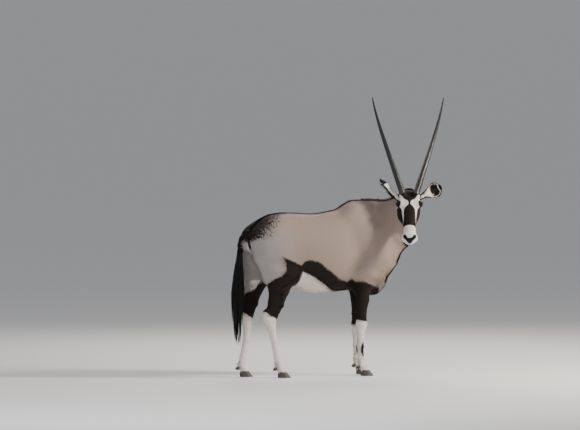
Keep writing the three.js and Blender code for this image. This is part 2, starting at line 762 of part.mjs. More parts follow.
// Two claws, joined under the pastern, with flat soles on the floor. They narrow towards the toe.
function hoof(x, y) {
  const top = CORONET_HEIGHT - GAP / 2;
  const cleft = 2;
  const claws = [-1, 1].map((side) => loft([0, 12, top].map((z) => {
    const t = z / CORONET_HEIGHT;
    const middle = x + mix(20, 3, t);
    const length = CLAW_LENGTH * mix(0.5, 0.31, t);
    const width = mix(16, 14, t);
    const inner = y + side * cleft;
    return ring(vec(middle, y + side * mix(17.5, 14.5, t), z), vec(length, 0, 0), vec(0, width, 0), 12)
      .map((p) => {
        const ahead = Math.max((p.x - middle) / length, 0) ** 2;
        return vec(p.x, inner + (p.y - inner) * (1 - 0.45 * ahead) - side * ahead, p.z);
      });
  })));
  const waist = 24;
  const pastern = loft([waist, top].map((z) => ring(
    vec(x - 1, y, z), vec(22, 0, 0), vec(0, mix(14, 24, (z - waist) / (top - waist)), 0), 10,
  )));
  return wasm.Manifold.union([...claws, pastern]);
}

// The tuft: a core as thick as the dock, and locks spread round it with their tips at different heights
function tailTuft() {
  const rows = [[TUFT_TOP - GAP / 2, 19, 15.2], [800, 19, 16], [700, 20, 18], [600, 17, 16], [540, 9, 9]];
  const core = loft(rows.map(([z, across, along]) => ring(
    vec(tuftMiddle(z), 0, z), vec(0, across, 0), vec(along, 0, 0), 12,
  )));
  const locks = Array.from({ length: TAIL_LOCKS }, (_, i) => {
    const level = (i + 0.5) / TAIL_LOCKS;
    const angle = i * 2.4 + mix(-0.2, 0.2, draw());
    const top = mix(835, 600, level);
    const tip = mix(TAIL_TIP_HEIGHT, 430, (i * 7 % TAIL_LOCKS) / TAIL_LOCKS) + (i ? 12 * draw() : 0);
    const share = mix(0.62, 1, ((i * 11) % TAIL_LOCKS) / TAIL_LOCKS);
    const out = vec(Math.cos(angle), Math.sin(angle), 0);
    const steps = 5;
    const path = Array.from({ length: steps + 1 }, (__, k) => {
      const u = k / steps;
      const z = mix(top, tip, u);
      const reach = k ? TUFT_ENVELOPE(z, 1) * share * mix(0.82, 1, u) + 2 * Math.sin(u * 5 + i) : 6;
      return vec(tuftMiddle(z), 0, z).addScaledVector(out, reach);
    });
    return lock(path, out, 38, 11, (u) => mix(0.75, 1, Math.min(u * 3, 1)) * (1 - 0.93 * u ** 2.2));
  });
  return wasm.Manifold.union([core, ...locks]);
}

// Every part in its own named node
const hair = mane(MANE_LOCKS);
addNode('torso', torso(hair.slice(0, Math.ceil(MANE_LOCKS * 0.62))), COAT);
addNode('neck', neck(hair), COAT);
addNode('head', head(), DARK);
addNode('tail_dock', tailDock(), DARK);
addNode('tail_tuft', tailTuft(), DARK);
const label = { '-1': 'right', 1: 'left' };
for (const side of [-1, 1]) {
  const name = label[side];
  addNode(`horn_${name}`, horn(side), HORN);
  addNode(`ear_${name}`, ear(side), WHITE);
  addNode(`eye_${name}`, eyeBall(side, EYE_RADIUS), EYE);

  // The boxes that the two legs of this side are meshed in
  const within = (x, inner, outer) => (side > 0
    ? { low: [x[0], inner, 0], high: [x[1], outer, 0] }
    : { low: [x[0], -outer, 0], high: [x[1], -inner, 0] });
  const length = (region, x, inner, bottom, top, cell, floor, ceiling) => {
    const { low, high } = within(x, inner, 260);
    return legLength(region, {
      low: [low[0], low[1], bottom], high: [high[0], high[1], top], cell, floor, ceiling,
    });
  };

  const fore = foreRegion(side, -GAP / 2);
  const foreX = [150, 440];
  addNode(`forearm_${name}`, length(fore, foreX, 20, 330, 700, CELLS.forearm, SHANK_TOP.fore, 2000), DARK);
  const foreFoot = mirrored(FORE_LEG, side, FORE_LEGS[name].shift);
  const foreShank = length(fore, foreX, 20, -40, 430, CELLS.foreShank, CORONET_HEIGHT, SHANK_TOP.fore);
  const foreClaws = dewClaws(foreFoot);
  addNode(`fore_shank_${name}`, wasm.Manifold.union([foreShank, ...foreClaws]), WHITE);
  addNode(`fore_hoof_${name}`, hoof(...hoofPlace(foreFoot)), HOOF);

  const hind = hindRegion(side, -GAP / 2);
  const hindX = [-660, -150];
  addNode(`gaskin_${name}`, length(hind, hindX, -10, 410, 850, CELLS.gaskin, SHANK_TOP.hind, 2000), DARK);
  const hindFoot = mirrored(HIND_LEGS[name].leg, side);
  const hindShank = length(hind, hindX, 20, -40, 510, CELLS.hindShank, CORONET_HEIGHT, SHANK_TOP.hind);
  const hindClaws = dewClaws(hindFoot);
  addNode(`hind_shank_${name}`, wasm.Manifold.union([hindShank, ...hindClaws]), WHITE);
  addNode(`hind_hoof_${name}`, hoof(...hoofPlace(hindFoot)), HOOF);
}

// The origin is under the middle of the model's box, on the floor.
const bounds = new THREE.Box3().setFromObject(group, true);
group.position.set(-(bounds.min.x + bounds.max.x) / 2, -(bounds.min.y + bounds.max.y) / 2, 0);

export default group;
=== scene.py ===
import math

import bmesh
import bpy
import numpy as np
from mathutils import Matrix, Vector


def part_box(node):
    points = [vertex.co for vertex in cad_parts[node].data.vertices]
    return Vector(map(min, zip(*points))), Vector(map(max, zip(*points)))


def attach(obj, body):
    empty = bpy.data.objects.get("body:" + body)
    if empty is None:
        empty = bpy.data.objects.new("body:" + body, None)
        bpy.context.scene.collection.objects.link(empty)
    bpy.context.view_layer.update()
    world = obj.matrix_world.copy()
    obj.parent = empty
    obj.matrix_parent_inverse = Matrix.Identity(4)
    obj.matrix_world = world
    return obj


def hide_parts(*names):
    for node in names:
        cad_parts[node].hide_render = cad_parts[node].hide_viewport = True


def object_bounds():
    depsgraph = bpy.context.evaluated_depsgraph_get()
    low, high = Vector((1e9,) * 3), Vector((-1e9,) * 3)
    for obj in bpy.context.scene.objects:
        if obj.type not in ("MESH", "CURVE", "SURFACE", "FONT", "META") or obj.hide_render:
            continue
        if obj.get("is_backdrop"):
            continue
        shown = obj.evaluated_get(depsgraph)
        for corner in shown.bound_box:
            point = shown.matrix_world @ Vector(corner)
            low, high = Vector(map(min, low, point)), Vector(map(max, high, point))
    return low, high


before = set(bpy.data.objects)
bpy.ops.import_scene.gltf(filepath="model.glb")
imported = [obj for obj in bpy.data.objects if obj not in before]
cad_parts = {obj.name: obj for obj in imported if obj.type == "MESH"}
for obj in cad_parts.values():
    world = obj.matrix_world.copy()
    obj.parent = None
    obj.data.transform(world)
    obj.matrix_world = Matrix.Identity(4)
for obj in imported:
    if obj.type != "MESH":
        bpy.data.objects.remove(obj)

cad_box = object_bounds()
rng = np.random.default_rng(11)
MM = 0.001

# Driving dimensions, the same as the solids'
WITHERS_HEIGHT = 1200
HEAD_YAW = math.radians(-112)
HEAD_PITCH = math.radians(50)
HEAD_ORIGIN = np.array([594.0, -197.0, 1245.0])
HORN_LENGTH = 906
HORN_BASE = (34, 47, 50)
HORN_SPREAD = 200
EYE_RADIUS = 17
EYE_PLACE = (104, 71, 20)
CORONET_HEIGHT = 40
CLAW_LENGTH = 88
TAIL_TIP_HEIGHT = 215
COAT_DEPTH = 3.0
EYE_CENTRE = np.array(EYE_PLACE, float)
LABELS = {-1: "right", 1: "left"}
FRONT, UP = (1, 0, 0), (0, 0, 1)
FAR = 1e4

# The skin's cell, and the width in cells of the blocks that the mesher tests first
SKIN_CELL = 6.0
BLOCK = 4

# Trunk and skull: x, top, bottom, half width and the height of the widest line
TRUNK = [
    (-520, 985, 850, 60, 930),
    (-470, 1044, 800, 112, 920),
    (-400, 1098, 740, 152, 915),
    (-300, 1120, 655, 182, 890),
    (-190, 1120, 603, 203, 850),
    (-45, 1113, 564, 218, 815),
    (100, 1134, 574, 212, 815),
    (240, WITHERS_HEIGHT - 32, 584, 176, 830),
    (350, WITHERS_HEIGHT - 36, 568, 150, 830),
    (420, 1132, 580, 120, 830),
    (468, 1076, 650, 82, 840),
]
SKULL = [
    (-25, 18, -70, 46, -20),
    (10, 46, -92, 65, -10),
    (56, 55, -104, 74, -8),
    (106, 51, -110, 74, -8),
    (156, 40, -114, 64, -22),
    (212, 23, -109, 52, -38),
    (266, 5, -101, 44, -50),
    (312, -7, -97, 47, -56),
    (342, -18, -95, 47, -60),
    (364, -36, -88, 33, -64),
]

# Neck, shoulder and legs: x, y, z, radius up the neck or along the body, radius across
NECK = [
    (330, 0, 925, 262, 150),
    (440, -5, 960, 222, 132),
    (530, -30, 1026, 174, 112),
    (585, -80, 1090, 132, 92),
    (608, -135, 1142, 106, 80),
]
SHOULDER = [
    (215, 66, 1085, 62, 42),
    (300, 118, 960, 92, 56),
    (395, 118, 800, 96, 60),
    (330, 122, 710, 92, 52),
]
FORE_LEG = [
    (300, 112, 700, 92, 52),
    (282, 108, 620, 68, 46),
    (288, 102, 520, 49, 37),
    (281, 97, 420, 37, 30),
    (284, 95, 352, 42, 35),
    (277, 95, 300, 30, 27),
    (276, 95, 200, 24, 20),
    (279, 95, 115, 24, 21),
    (287, 95, 72, 30, 26),
    (305, 95, 44, 25, 27),
    (316, 95, 28, 24, 28),
]
HIND_LEGS = {
    -1: {
        "thigh": [(-380, 92, 985, 126, 78), (-325, 122, 860, 126, 76), (-280, 132, 735, 92, 62)],
        "buttock": [(-442, 76, 950, 80, 62), (-428, 94, 830, 82, 60), (-378, 108, 700, 80, 52)],
        "leg": [
            (-310, 128, 715, 112, 58),
            (-338, 120, 600, 78, 46),
            (-356, 114, 510, 60, 38),
            (-388, 110, 430, 49, 31),
            (-396, 109, 395, 45, 32),
            (-388, 109, 345, 32, 26),
            (-368, 108, 250, 25, 21),
            (-346, 107, 140, 25, 21),
            (-331, 106, 76, 30, 27),
            (-310, 106, 46, 25, 28),
            (-299, 106, 28, 24, 29),
        ],
        "heel": [(-425, 110, 452, 22, 15), (-432, 110, 424, 23, 17), (-406, 110, 380, 26, 22)],
    },
    1: {
        "thigh": [(-385, 92, 985, 126, 78), (-365, 122, 860, 126, 76), (-352, 130, 735, 92, 62)],
        "buttock": [(-440, 76, 950, 80, 62), (-446, 94, 830, 82, 60), (-440, 106, 700, 78, 52)],
        "leg": [
            (-385, 124, 715, 108, 58),
            (-436, 114, 600, 74, 46),
            (-456, 107, 510, 58, 38),
            (-480, 103, 430, 47, 31),
            (-484, 101, 392, 43, 32),
            (-482, 100, 342, 31, 26),
            (-492, 99, 250, 25, 21),
            (-514, 98, 140, 25, 21),
            (-526, 98, 76, 30, 27),
            (-508, 98, 46, 25, 28),
            (-498, 98, 28, 24, 29),
        ],
        "heel": [(-514, 103, 452, 22, 15), (-519, 102, 424, 23, 17), (-492, 101, 380, 26, 22)],
    },
}

# The left foreleg stands further forward.
FORE_SHIFT = {-1: 0, 1: 46}

# The rows of the legs' tables at the fetlock and the coronet
FETLOCK, CORONET = 8, 9
FEET = {
    "fore_hoof_right": (FORE_LEG, -1, 0),
    "fore_hoof_left": (FORE_LEG, 1, FORE_SHIFT[1]),
    "hind_hoof_right": (HIND_LEGS[-1]["leg"], -1, 0),
    "hind_hoof_left": (HIND_LEGS[1]["leg"], 1, 0),
}

# The dock: places and radii
DOCK = [((-524, 0, 985), 27), ((-552, 0, 950), 24), ((-566, 0, 905), 21), ((-572, 0, 858), 19)]

# Soft forms on the head's left half, the chin and the breast: middle, radii and reach of the blend
FACE_FORMS = {
    "socket": ((102, 60, 20), (34, 24, 27), 22),
    "cheek": ((106, 48, -56), (70, 24, 45), 26),
    "nose wing": ((338, 27, -60), (30, 30, 32), 18),
    "horn root": ((34, 46, 44), (34, 28, 26), 22),
    "ear root": ((22, 66, -4), (26, 22, 24), 20),
}
CHIN = ((336, 0, -84), (32, 30, 20), 14)
BREAST = ((408, 0, 628), (72, 64, 60), 60)

# The reach of the blend inside each hind part, and from it to the rest
HIND_BLENDS = {"thigh": (30, 60), "buttock": (24, 50), "leg": (10, 46), "heel": (10, 26)}


# The head's own axes: x to the nose, y to the left, z out of the forehead
def turn_of_head():
    cy, sy = math.cos(HEAD_YAW), math.sin(HEAD_YAW)
    cp, sp = math.cos(HEAD_PITCH), math.sin(HEAD_PITCH)
    yaw = np.array([[cy, -sy, 0], [sy, cy, 0], [0, 0, 1]])
    pitch = np.array([[cp, 0, sp], [0, 1, 0], [-sp, 0, cp]])
    return yaw @ pitch


HEAD_TURN = turn_of_head()


def to_head(p):
    return (p - HEAD_ORIGIN) @ HEAD_TURN


def from_head(p):
    return np.asarray(p, float) @ HEAD_TURN.T + HEAD_ORIGIN


# Places on the right side, folded onto the left
def folded(q):
    return np.column_stack([q[:, 0], np.abs(q[:, 1]), q[:, 2]])


# The unit direction square to an axis that is nearest to a given one
def square_to(axis, direction):
    direction = np.array(direction, float)
    direction -= axis * axis.dot(direction)
    return direction / np.linalg.norm(direction)


# Directions laid into the skin's plane, with length 1
def along_skin(ways, normals):
    ways = ways - normals * (ways * normals).sum(axis=1)[:, None]
    return ways / (np.linalg.norm(ways, axis=1)[:, None] + 1e-9)


# 0 up to a start, and from there rising to 1 over a width
def ramp(value, start, width):
    return np.clip((value - start) / width, 0, 1)


# A smooth curve through a table's rows, against their first column
def profile(rows):
    table = np.array(rows, float)
    x = table[:, 0]
    before = table[np.maximum(np.arange(len(table)) - 1, 0)]
    after = table[np.minimum(np.arange(len(table)) + 1, len(table) - 1)]
    slopes = (after - before) / (after[:, :1] - before[:, :1])

    def at(q, column):
        q = np.clip(q, x[0], x[-1])
        i = np.clip(np.searchsorted(x, q) - 1, 0, len(x) - 2)
        span = x[i + 1] - x[i]
        t = (q - x[i]) / span
        h = t * t * (3 - 2 * t)
        held = table[i, column] * (1 - h) + table[i + 1, column] * h
        pull = slopes[i, column] * t * (1 - t) ** 2 - slopes[i + 1, column] * t * t * (1 - t)
        return held + span * pull

    return at


# Distance fields on arrays of points, and the soft union of two distances
def smooth(a, b, reach):
    h = np.maximum(reach - np.abs(a - b), 0) / reach
    return np.minimum(a, b) - h * h * reach / 4


def ellipsoid(centre, radii):
    centre, radii = np.array(centre, float), np.array(radii, float)
    return lambda p: (np.linalg.norm((p - centre) / radii, axis=1) - 1) * radii.min()


# No blend reaches further than this, so a tube isn't worked out beyond it and some room to spare.
FURTHEST_BLEND = 85
SPARE = 25


# A tube through stations (x, y, z, radius along face, radius across)
def tube(stations, face, reach):
    pieces = []
    for a, b in zip(stations[:-1], stations[1:]):
        start, end = np.array(a[:3], float), np.array(b[:3], float)
        along = end - start
        length = np.linalg.norm(along)
        along /= length
        first = square_to(along, face)
        radii = np.array([a[3:], b[3:]], float)
        margin = radii.max() * (1 + FURTHEST_BLEND / radii.min()) + SPARE
        box = np.minimum(start, end) - margin, np.maximum(start, end) + margin
        pieces.append((start, along, length, first, np.cross(along, first), radii, box))

    def field(p):
        d = np.full(len(p), FAR)
        for start, along, length, first, second, radii, (low, high) in pieces:
            near = np.flatnonzero(((p > low) & (p < high)).all(axis=1))
            if not len(near):
                continue
            q = p[near] - start
            s = q @ along
            t = np.clip(s / length, 0, 1)
            r = radii[0] + (radii[1] - radii[0]) * t[:, None]
            least = r.min(axis=1)
            over = (s - t * length) / least
            rho = np.sqrt((q @ first / r[:, 0]) ** 2 + (q @ second / r[:, 1]) ** 2 + over ** 2)
            d[near] = smooth(d[near], (rho - 1) * least, reach)
        return d

    return field


# A body with a top and a bottom line and a half width along x
def hull(rows, upper_power, lower_power):
    at = profile(rows)
    low, high = rows[0][0], rows[-1][0]

    def field(p):
        x = np.clip(p[:, 0], low, high)
        wide = at(x, 4)
        half = at(x, 3)
        up = p[:, 2] > wide
        reach = np.where(up, at(x, 1) - wide, wide - at(x, 2))
        power = np.where(up, upper_power, lower_power)
        across = np.abs(p[:, 1] / half) ** power
        ring = (across + np.abs((p[:, 2] - wide) / reach) ** power) ** (1 / power)
        least = np.minimum(half, reach)
        return (np.sqrt(ring * ring + ((p[:, 0] - x) / least) ** 2) - 1) * least

    return field


def mirrored(rows, side, shift=0):
    return [(row[0] + shift, row[1] * side, *row[2:]) for row in rows]


# The box round the head, in its own axes, outside which its field isn't worked out
HEAD_MIDDLE, HEAD_HALF = (170, 0, -25), (300, 190, 210)


def head_field():
    core = hull(SKULL, 2.3, 2.5)
    forms = [
        (ellipsoid((x, side * y, z), radii), reach)
        for side in LABELS
        for (x, y, z), radii, reach in FACE_FORMS.values()
    ]
    forms.append((ellipsoid(*CHIN[:2]), CHIN[2]))

    def field(p):
        q = to_head(p)
        near = np.flatnonzero((np.abs(q - HEAD_MIDDLE) < HEAD_HALF).all(axis=1))
        d = np.full(len(p), FAR)
        held = core(q[near])
        for form, reach in forms:
            held = smooth(held, form(q[near]), reach)
        d[near] = held
        return d

    return field


HEAD = head_field()
NECK_TUBE = tube(NECK, UP, 40)


# Each mass with the reach of its blend
def masses():
    yield NECK_TUBE, 70
    yield HEAD, 34
    for side in LABELS:
        yield tube(mirrored(SHOULDER, side), FRONT, 30), 60
        yield tube(mirrored(FORE_LEG, side, FORE_SHIFT[side]), FRONT, 10), 46
    for side, parts in HIND_LEGS.items():
        for part, (inside, outward) in HIND_BLENDS.items():
            yield tube(mirrored(parts[part], side), FRONT, inside), outward
    yield ellipsoid(*BREAST[:2]), BREAST[2]


MASSES = list(masses())
TRUNK_HULL = hull(TRUNK, 2.1, 2.3)
TRUNK_AT = profile(TRUNK)
DOCK_TUBE = tube([(*at, r, r) for at, r in DOCK], FRONT, 12)


def flesh(p):
    d = TRUNK_HULL(p)
    for mass, reach in MASSES:
        d = smooth(d, mass(p), reach)
    return d


# Soft folds where the neck turns, upright and closer together towards the head
def neck_folds(p):
    x, y, z = p.T
    bent = ramp(x, 410, 60) * ramp(z, 850, 60)
    bent = bent * ramp(HEAD(p), 6, 40) * (0.6 + 0.4 * np.sin(z / 61 + y / 45))
    fold = np.sin(0.235 * (x + 0.16 * (z - 1000)) + 1.6 * np.sin(z / 47))
    return 2.2 * bent * np.maximum(fold, 0) ** 2


# The eye's opening is an almond that slants down to the front.
LID_SLANT = 0.3
LID_HALF_LENGTH = 17.5
LID_HALF_HEIGHT = 8.2
NOSTRIL = (357, 21, -42)
NOSTRIL_TURN = 0.6
NOSTRIL_RADII = (9, 4.2, 12)


def lid_height(u):
    return LID_HALF_HEIGHT * np.clip(1 - (u / LID_HALF_LENGTH) ** 2, 0, 1) ** 0.75


def eye_folds(d, q):
    eye = q - EYE_CENTRE
    ball = np.linalg.norm(eye, axis=1)
    d = smooth(d, np.where(q[:, 1] > 62, ball - (EYE_RADIUS + 3.2), FAR), 7)
    u = eye[:, 0] * math.cos(LID_SLANT) - eye[:, 2] * math.sin(LID_SLANT)
    v = eye[:, 0] * math.sin(LID_SLANT) + eye[:, 2] * math.cos(LID_SLANT)
    almond = np.maximum.reduce([np.abs(v - 1) - lid_height(u), np.abs(u) - LID_HALF_LENGTH, 66 - q[:, 1]])
    d = np.maximum(d, -almond)
    # Lines above the eye and in front of it
    crease = np.abs(ball - (EYE_RADIUS + 9)) / 2.2
    d = d + 1.1 * np.exp(-crease ** 2) * (v > 0)
    tear = np.hypot(eye[:, 2] + 8 + (eye[:, 0] - 20) * 0.3, (eye[:, 0] - 30) / 4) / 3
    return d + 1.6 * np.exp(-tear ** 2) * (q[:, 1] > 45)


# A nostril is a comma that runs up and back, with a raised wing round it.
def nostril_folds(d, q):
    x, y, z = (q - NOSTRIL).T
    a = x * math.cos(NOSTRIL_TURN) + y * math.sin(NOSTRIL_TURN)
    b = -x * math.sin(NOSTRIL_TURN) + y * math.cos(NOSTRIL_TURN)
    long, narrow, tall = NOSTRIL_RADII
    hole = np.sqrt((a / long) ** 2 + ((b - 0.03 * z ** 2) / narrow) ** 2 + (z / tall) ** 2)
    d = np.maximum(d, -(hole - 1) * narrow)
    wing = np.sqrt((a / 13) ** 2 + (b / 8) ** 2 + (z / 15) ** 2)
    return d - 1.5 * np.exp(-((wing - 1) / 0.25) ** 2)


# The mouth's line is level at the lip and rises to the back.
def mouth_height(x):
    return -78 + 0.05 * (340 - x) * (x < 340)


def face_folds(d, q):
    x, y, z = q.T
    d = nostril_folds(eye_folds(d, q), q)
    d = d + 3.4 * np.exp(-((z - mouth_height(x)) / 2.3) ** 2) * ramp(x, 286, 16)
    # The groove from the nose to the lip
    d = d + 1.6 * np.exp(-(y / 2.2) ** 2) * (x > 345) * (z < -50) * (z > -80)
    # The cheek bone
    bone = np.exp(-((z + 14 + 0.12 * (x - 130)) / 7) ** 2) * np.exp(-((x - 165) / 45) ** 2)
    return d - 1.8 * bone * (y > 25)


# The box round the face, in the head's axes, that holds all its folds
FACE_MIDDLE, FACE_HALF = (190, 0, -20), (220, 120, 130)


# The skin lies under the flesh's outline by the coat's depth, and takes in the dock.
def skin_field(p):
    d = smooth(flesh(p) + COAT_DEPTH, DOCK_TUBE(p) + 2, 14) + neck_folds(p)
    q = to_head(p)
    face = np.flatnonzero((np.abs(q - FACE_MIDDLE) < FACE_HALF).all(axis=1))
    if len(face):
        d[face] = face_folds(d[face], folded(q[face]))
    return d


# Each value of a coarse grid, repeated over its block of cells
def repeated(a):
    return a.repeat(BLOCK, 0).repeat(BLOCK, 1).repeat(BLOCK, 2)


# The part of a grid that holds the given corner of every cell
def corner_part(a, corner):
    return a[tuple(slice(c, n - 1 + c) for c, n in zip(corner, a.shape))]


# Meshing: one point in each cell that the surface crosses, moved onto the surface
def surface_nets(field, low, high, cell):
    wide = cell * BLOCK
    blocks = np.ceil((np.array(high) - low) / wide).astype(int)
    centres = np.stack(np.meshgrid(*[np.arange(n) for n in blocks], indexing="ij"), -1).reshape(-1, 3)
    level = field(low + (centres + 0.5) * wide).reshape(blocks)
    close = np.abs(level) < wide * 0.9 + 10
    values = np.where(repeated(level) < 0, -FAR, FAR).astype(np.float32)
    mask = repeated(close)
    # The far corners of a close block belong to its neighbours.
    for axis in range(3):
        mask |= np.roll(mask, 1, axis)
    index = np.argwhere(mask)
    values[mask] = field(low + index * cell)
    inside = values < 0
    n = np.array(values.shape)
    corners = [(i, j, k) for i in (0, 1) for j in (0, 1) for k in (0, 1)]
    held = np.stack([corner_part(inside, c) for c in corners])
    cells = np.argwhere(held.any(axis=0) & ~held.all(axis=0))
    total = np.zeros((len(cells), 3))
    count = np.zeros(len(cells))
    for axis in range(3):
        step = np.eye(3, dtype=int)[axis]
        for c in corners:
            if c[axis]:
                continue
            a = values[tuple((cells + c).T)]
            b = values[tuple((cells + c + step).T)]
            crosses = (a < 0) != (b < 0)
            t = np.where(crosses, a / np.where(crosses, a - b, 1), 0)
            total += crosses[:, None] * (np.array(c) + step * t[:, None])
            count += crosses
    points = low + (cells + total / count[:, None]) * cell
    number = np.full(n - 1, -1)
    number[tuple(cells.T)] = np.arange(len(cells))
    quads = []
    for axis in range(3):
        step = np.eye(3, dtype=int)
        b, c = step[(axis + 1) % 3], step[(axis + 2) % 3]
        here = corner_part(inside, (0, 0, 0))
        there = corner_part(inside, step[axis])
        at = np.argwhere(here != there)
        at = at[(at[:, (axis + 1) % 3] > 0) & (at[:, (axis + 2) % 3] > 0)]
        quad = np.stack([number[tuple(p.T)] for p in (at, at - b, at - b - c, at - c)], 1)
        turned = ~inside[tuple(at.T)]
        quad[turned] = quad[turned][:, ::-1]
        quads.append(quad[(quad >= 0).all(axis=1)])
    return points, np.concatenate(quads)


# The gradient of a field, and points moved onto its surface by at most a given length
def slope(field, p, e=0.6):
    return np.stack([field(p + e * axis) - field(p - e * axis) for axis in np.eye(3)], 1) / (2 * e)


def settled(field, points, most, rounds=2):
    start = points.copy()
    for _ in range(rounds):
        d = field(points)
        g = slope(field, points)
        step = d[:, None] * g / ((g * g).sum(axis=1) + 1e-6)[:, None]
        points = start + np.clip(points - step - start, -most, most)
    return points


# The design's place in the frame
eye_low, eye_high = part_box("eye_right")
eye_middle = (np.array(eye_low) + np.array(eye_high)) / 2
SHIFT = eye_middle - from_head(EYE_CENTRE * (1, -1, 1)) * MM


def placed(points):
    return np.asarray(points, float) * MM + SHIFT


def set_attribute(mesh, name, values):
    layer = mesh.attributes.new(name, "FLOAT", "POINT")
    layer.data.foreach_set("value", np.asarray(values, np.float32))


# A finished mesh becomes a piece that rides on the only body.
def piece_of(mesh, material, attributes):
    mesh.shade_smooth()
    mesh.materials.append(material)
    for name, values in attributes.items():
        set_attribute(mesh, name, values)
    piece = bpy.data.objects.new(mesh.name, mesh)
    bpy.context.collection.objects.link(piece)
    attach(piece, "root")
    return piece


def mesh_object(name, points, faces, material, attributes):
    mesh = bpy.data.meshes.new(name)
    mesh.from_pydata(placed(points), [], faces)
    mesh.update()
    return piece_of(mesh, material, attributes)


# Markings: signed distances in millimetres, negative inside a mark
def polygon_field(points, corners):
    d = np.full(len(points), np.inf)
    inside = np.zeros(len(points), bool)
    for a, b in zip(corners, corners[1:] + corners[:1]):
        a, b = np.array(a, float), np.array(b, float)
        edge = b - a
        rel = points - a
        t = np.clip(rel @ edge / edge.dot(edge), 0, 1)
        d = np.minimum(d, np.linalg.norm(rel - t[:, None] * edge, axis=1))
        spans = (a[1] > points[:, 1]) != (b[1] > points[:, 1])
        cross = a[0] + (points[:, 1] - a[1]) * edge[0] / (edge[1] if edge[1] else 1e-9)
        inside ^= spans & (points[:, 0] < cross)
    return np.where(inside, -d, d)


# Side view, x and z
FLANK_BAND = [
    (-214, 736), (-206, 768), (-171, 794), (-140, 806), (-72, 788), (3, 732), (89, 669), (156, 652),
    (190, 668), (225, 645), (240, 590), (200, 560), (142, 575), (85, 584), (24, 607), (-59, 661),
    (-136, 705), (-181, 722),
]
THIGH_MARK = [
    (-332, 828), (-251, 792), (-192, 766), (-186, 716), (-210, 600), (-300, 400), (-345, 400), (-366, 407),
    (-437, 449), (-490, 470), (-490, 560), (-425, 640), (-395, 674), (-340, 699), (-308, 735), (-318, 790),
]
FOREARM_MARK = [
    (190, 668), (221, 652), (262, 654), (300, 642), (340, 624), (420, 604), (450, 560), (400, 500),
    (360, 400), (340, 372), (220, 388), (215, 500), (190, 560),
]
BELLY_WHITE = [
    (-205, 740), (-140, 712), (-59, 672), (24, 622), (120, 590), (240, 590), (240, 500), (-330, 500),
    (-330, 620), (-215, 690),
]
# Head: seen from above, x and distance from the middle; and from the side, x and z
FACE_MARK = [
    (-60, -10), (-60, 90), (36, 78), (50, 62), (66, 47), (79, 37), (87, 23), (95, 12), (104, 8), (120, 7),
    (130, 16), (140, 28), (152, 36), (170, 39), (200, 40.5), (232, 42), (240, 46), (243, 80), (268, 80),
    (268, -10),
]
EYE_MARK = [
    (86, 30), (104, 36), (125, 28), (160, 12), (200, -4), (235, -18), (255, -8), (268, -14), (292, -40),
    (310, -64), (312, -84), (296, -130), (240, -136), (180, -136), (104, -132), (76, -92), (64, -40),
    (66, -6), (78, 18),
]
FACE_WHITE = [
    (40, 90), (400, 90), (400, -140), (60, -140), (48, -70), (64, -20), (52, 10),
]
MUZZLE_START = 268

# A mark's distance is held within this, and the rump's measure within its own limits.
MARK_LIMIT = 60
RUMP_LIMITS = (-1, 3)
# How far the markings' edges are ragged on the body, on the legs and on the head
RAGGED_BODY, RAGGED_LEG, RAGGED_HEAD = 8.0, 4.0, 1.6


def leg_shift(z):
    return np.interp(z, [420, 600, 715, 850], [95, 98, 75, 0])


# How far a point is to the side of the neck's middle line and above it
def neck_place(p):
    best = np.full(len(p), np.inf)
    side = np.zeros(len(p))
    rise = np.zeros(len(p))
    stations = np.array([row[:3] for row in NECK], float)
    for a, b in zip(stations[:-1], stations[1:]):
        along = (b - a) / np.linalg.norm(b - a)
        first = square_to(along, UP)
        rel = p - a
        t = np.clip(rel @ along, 0, np.linalg.norm(b - a))
        d = np.linalg.norm(rel - t[:, None] * along, axis=1)
        closer = d < best
        best[closer] = d[closer]
        side[closer] = (rel @ np.cross(along, first))[closer]
        rise[closer] = (rel @ first)[closer]
    return side, rise


# The distance from a rod with round ends
def capsule(p, a, b, radius):
    a, b = np.array(a, float), np.array(b, float)
    t = np.clip((p - a) @ (b - a) / (b - a).dot(b - a), 0, 1)
    return np.linalg.norm(p - a - t[:, None] * (b - a), axis=1) - radius


# Seen from above, the distance from the line of the back and the neck's crest
def beside_spine(p):
    line = [(-500, 0, 0), *[(x, y, 0) for x, y, *_ in NECK]]
    flat = p * (1, 1, 0)
    return np.minimum.reduce([capsule(flat, a, b, 0) for a, b in zip(line[:-1], line[1:])])


# Half widths of the dark lines on the back, throat, chest and brisket
SPINE_HALF, THROAT_HALF, CHEST_HALF, BRISKET_HALF = 11, 32, 17, 30
# How high the legs are white: the right foreleg, how much less the left one, and the hind legs
FORE_WHITE, LEFT_FORE_LESS, HIND_WHITE = 392, 40, 455
# The black spot beside the tail, which is painted shade in the hollow between the tail and the buttock
SHADE_SPOT_TOP, SHADE_SPOT_FOOT, SHADE_SPOT_RADIUS = (-540, 76, 940), (-527, 70, 876), 14
# The flank's band is stretched to reach the left thigh, which stands further back.
LEFT_BAND = 0.76


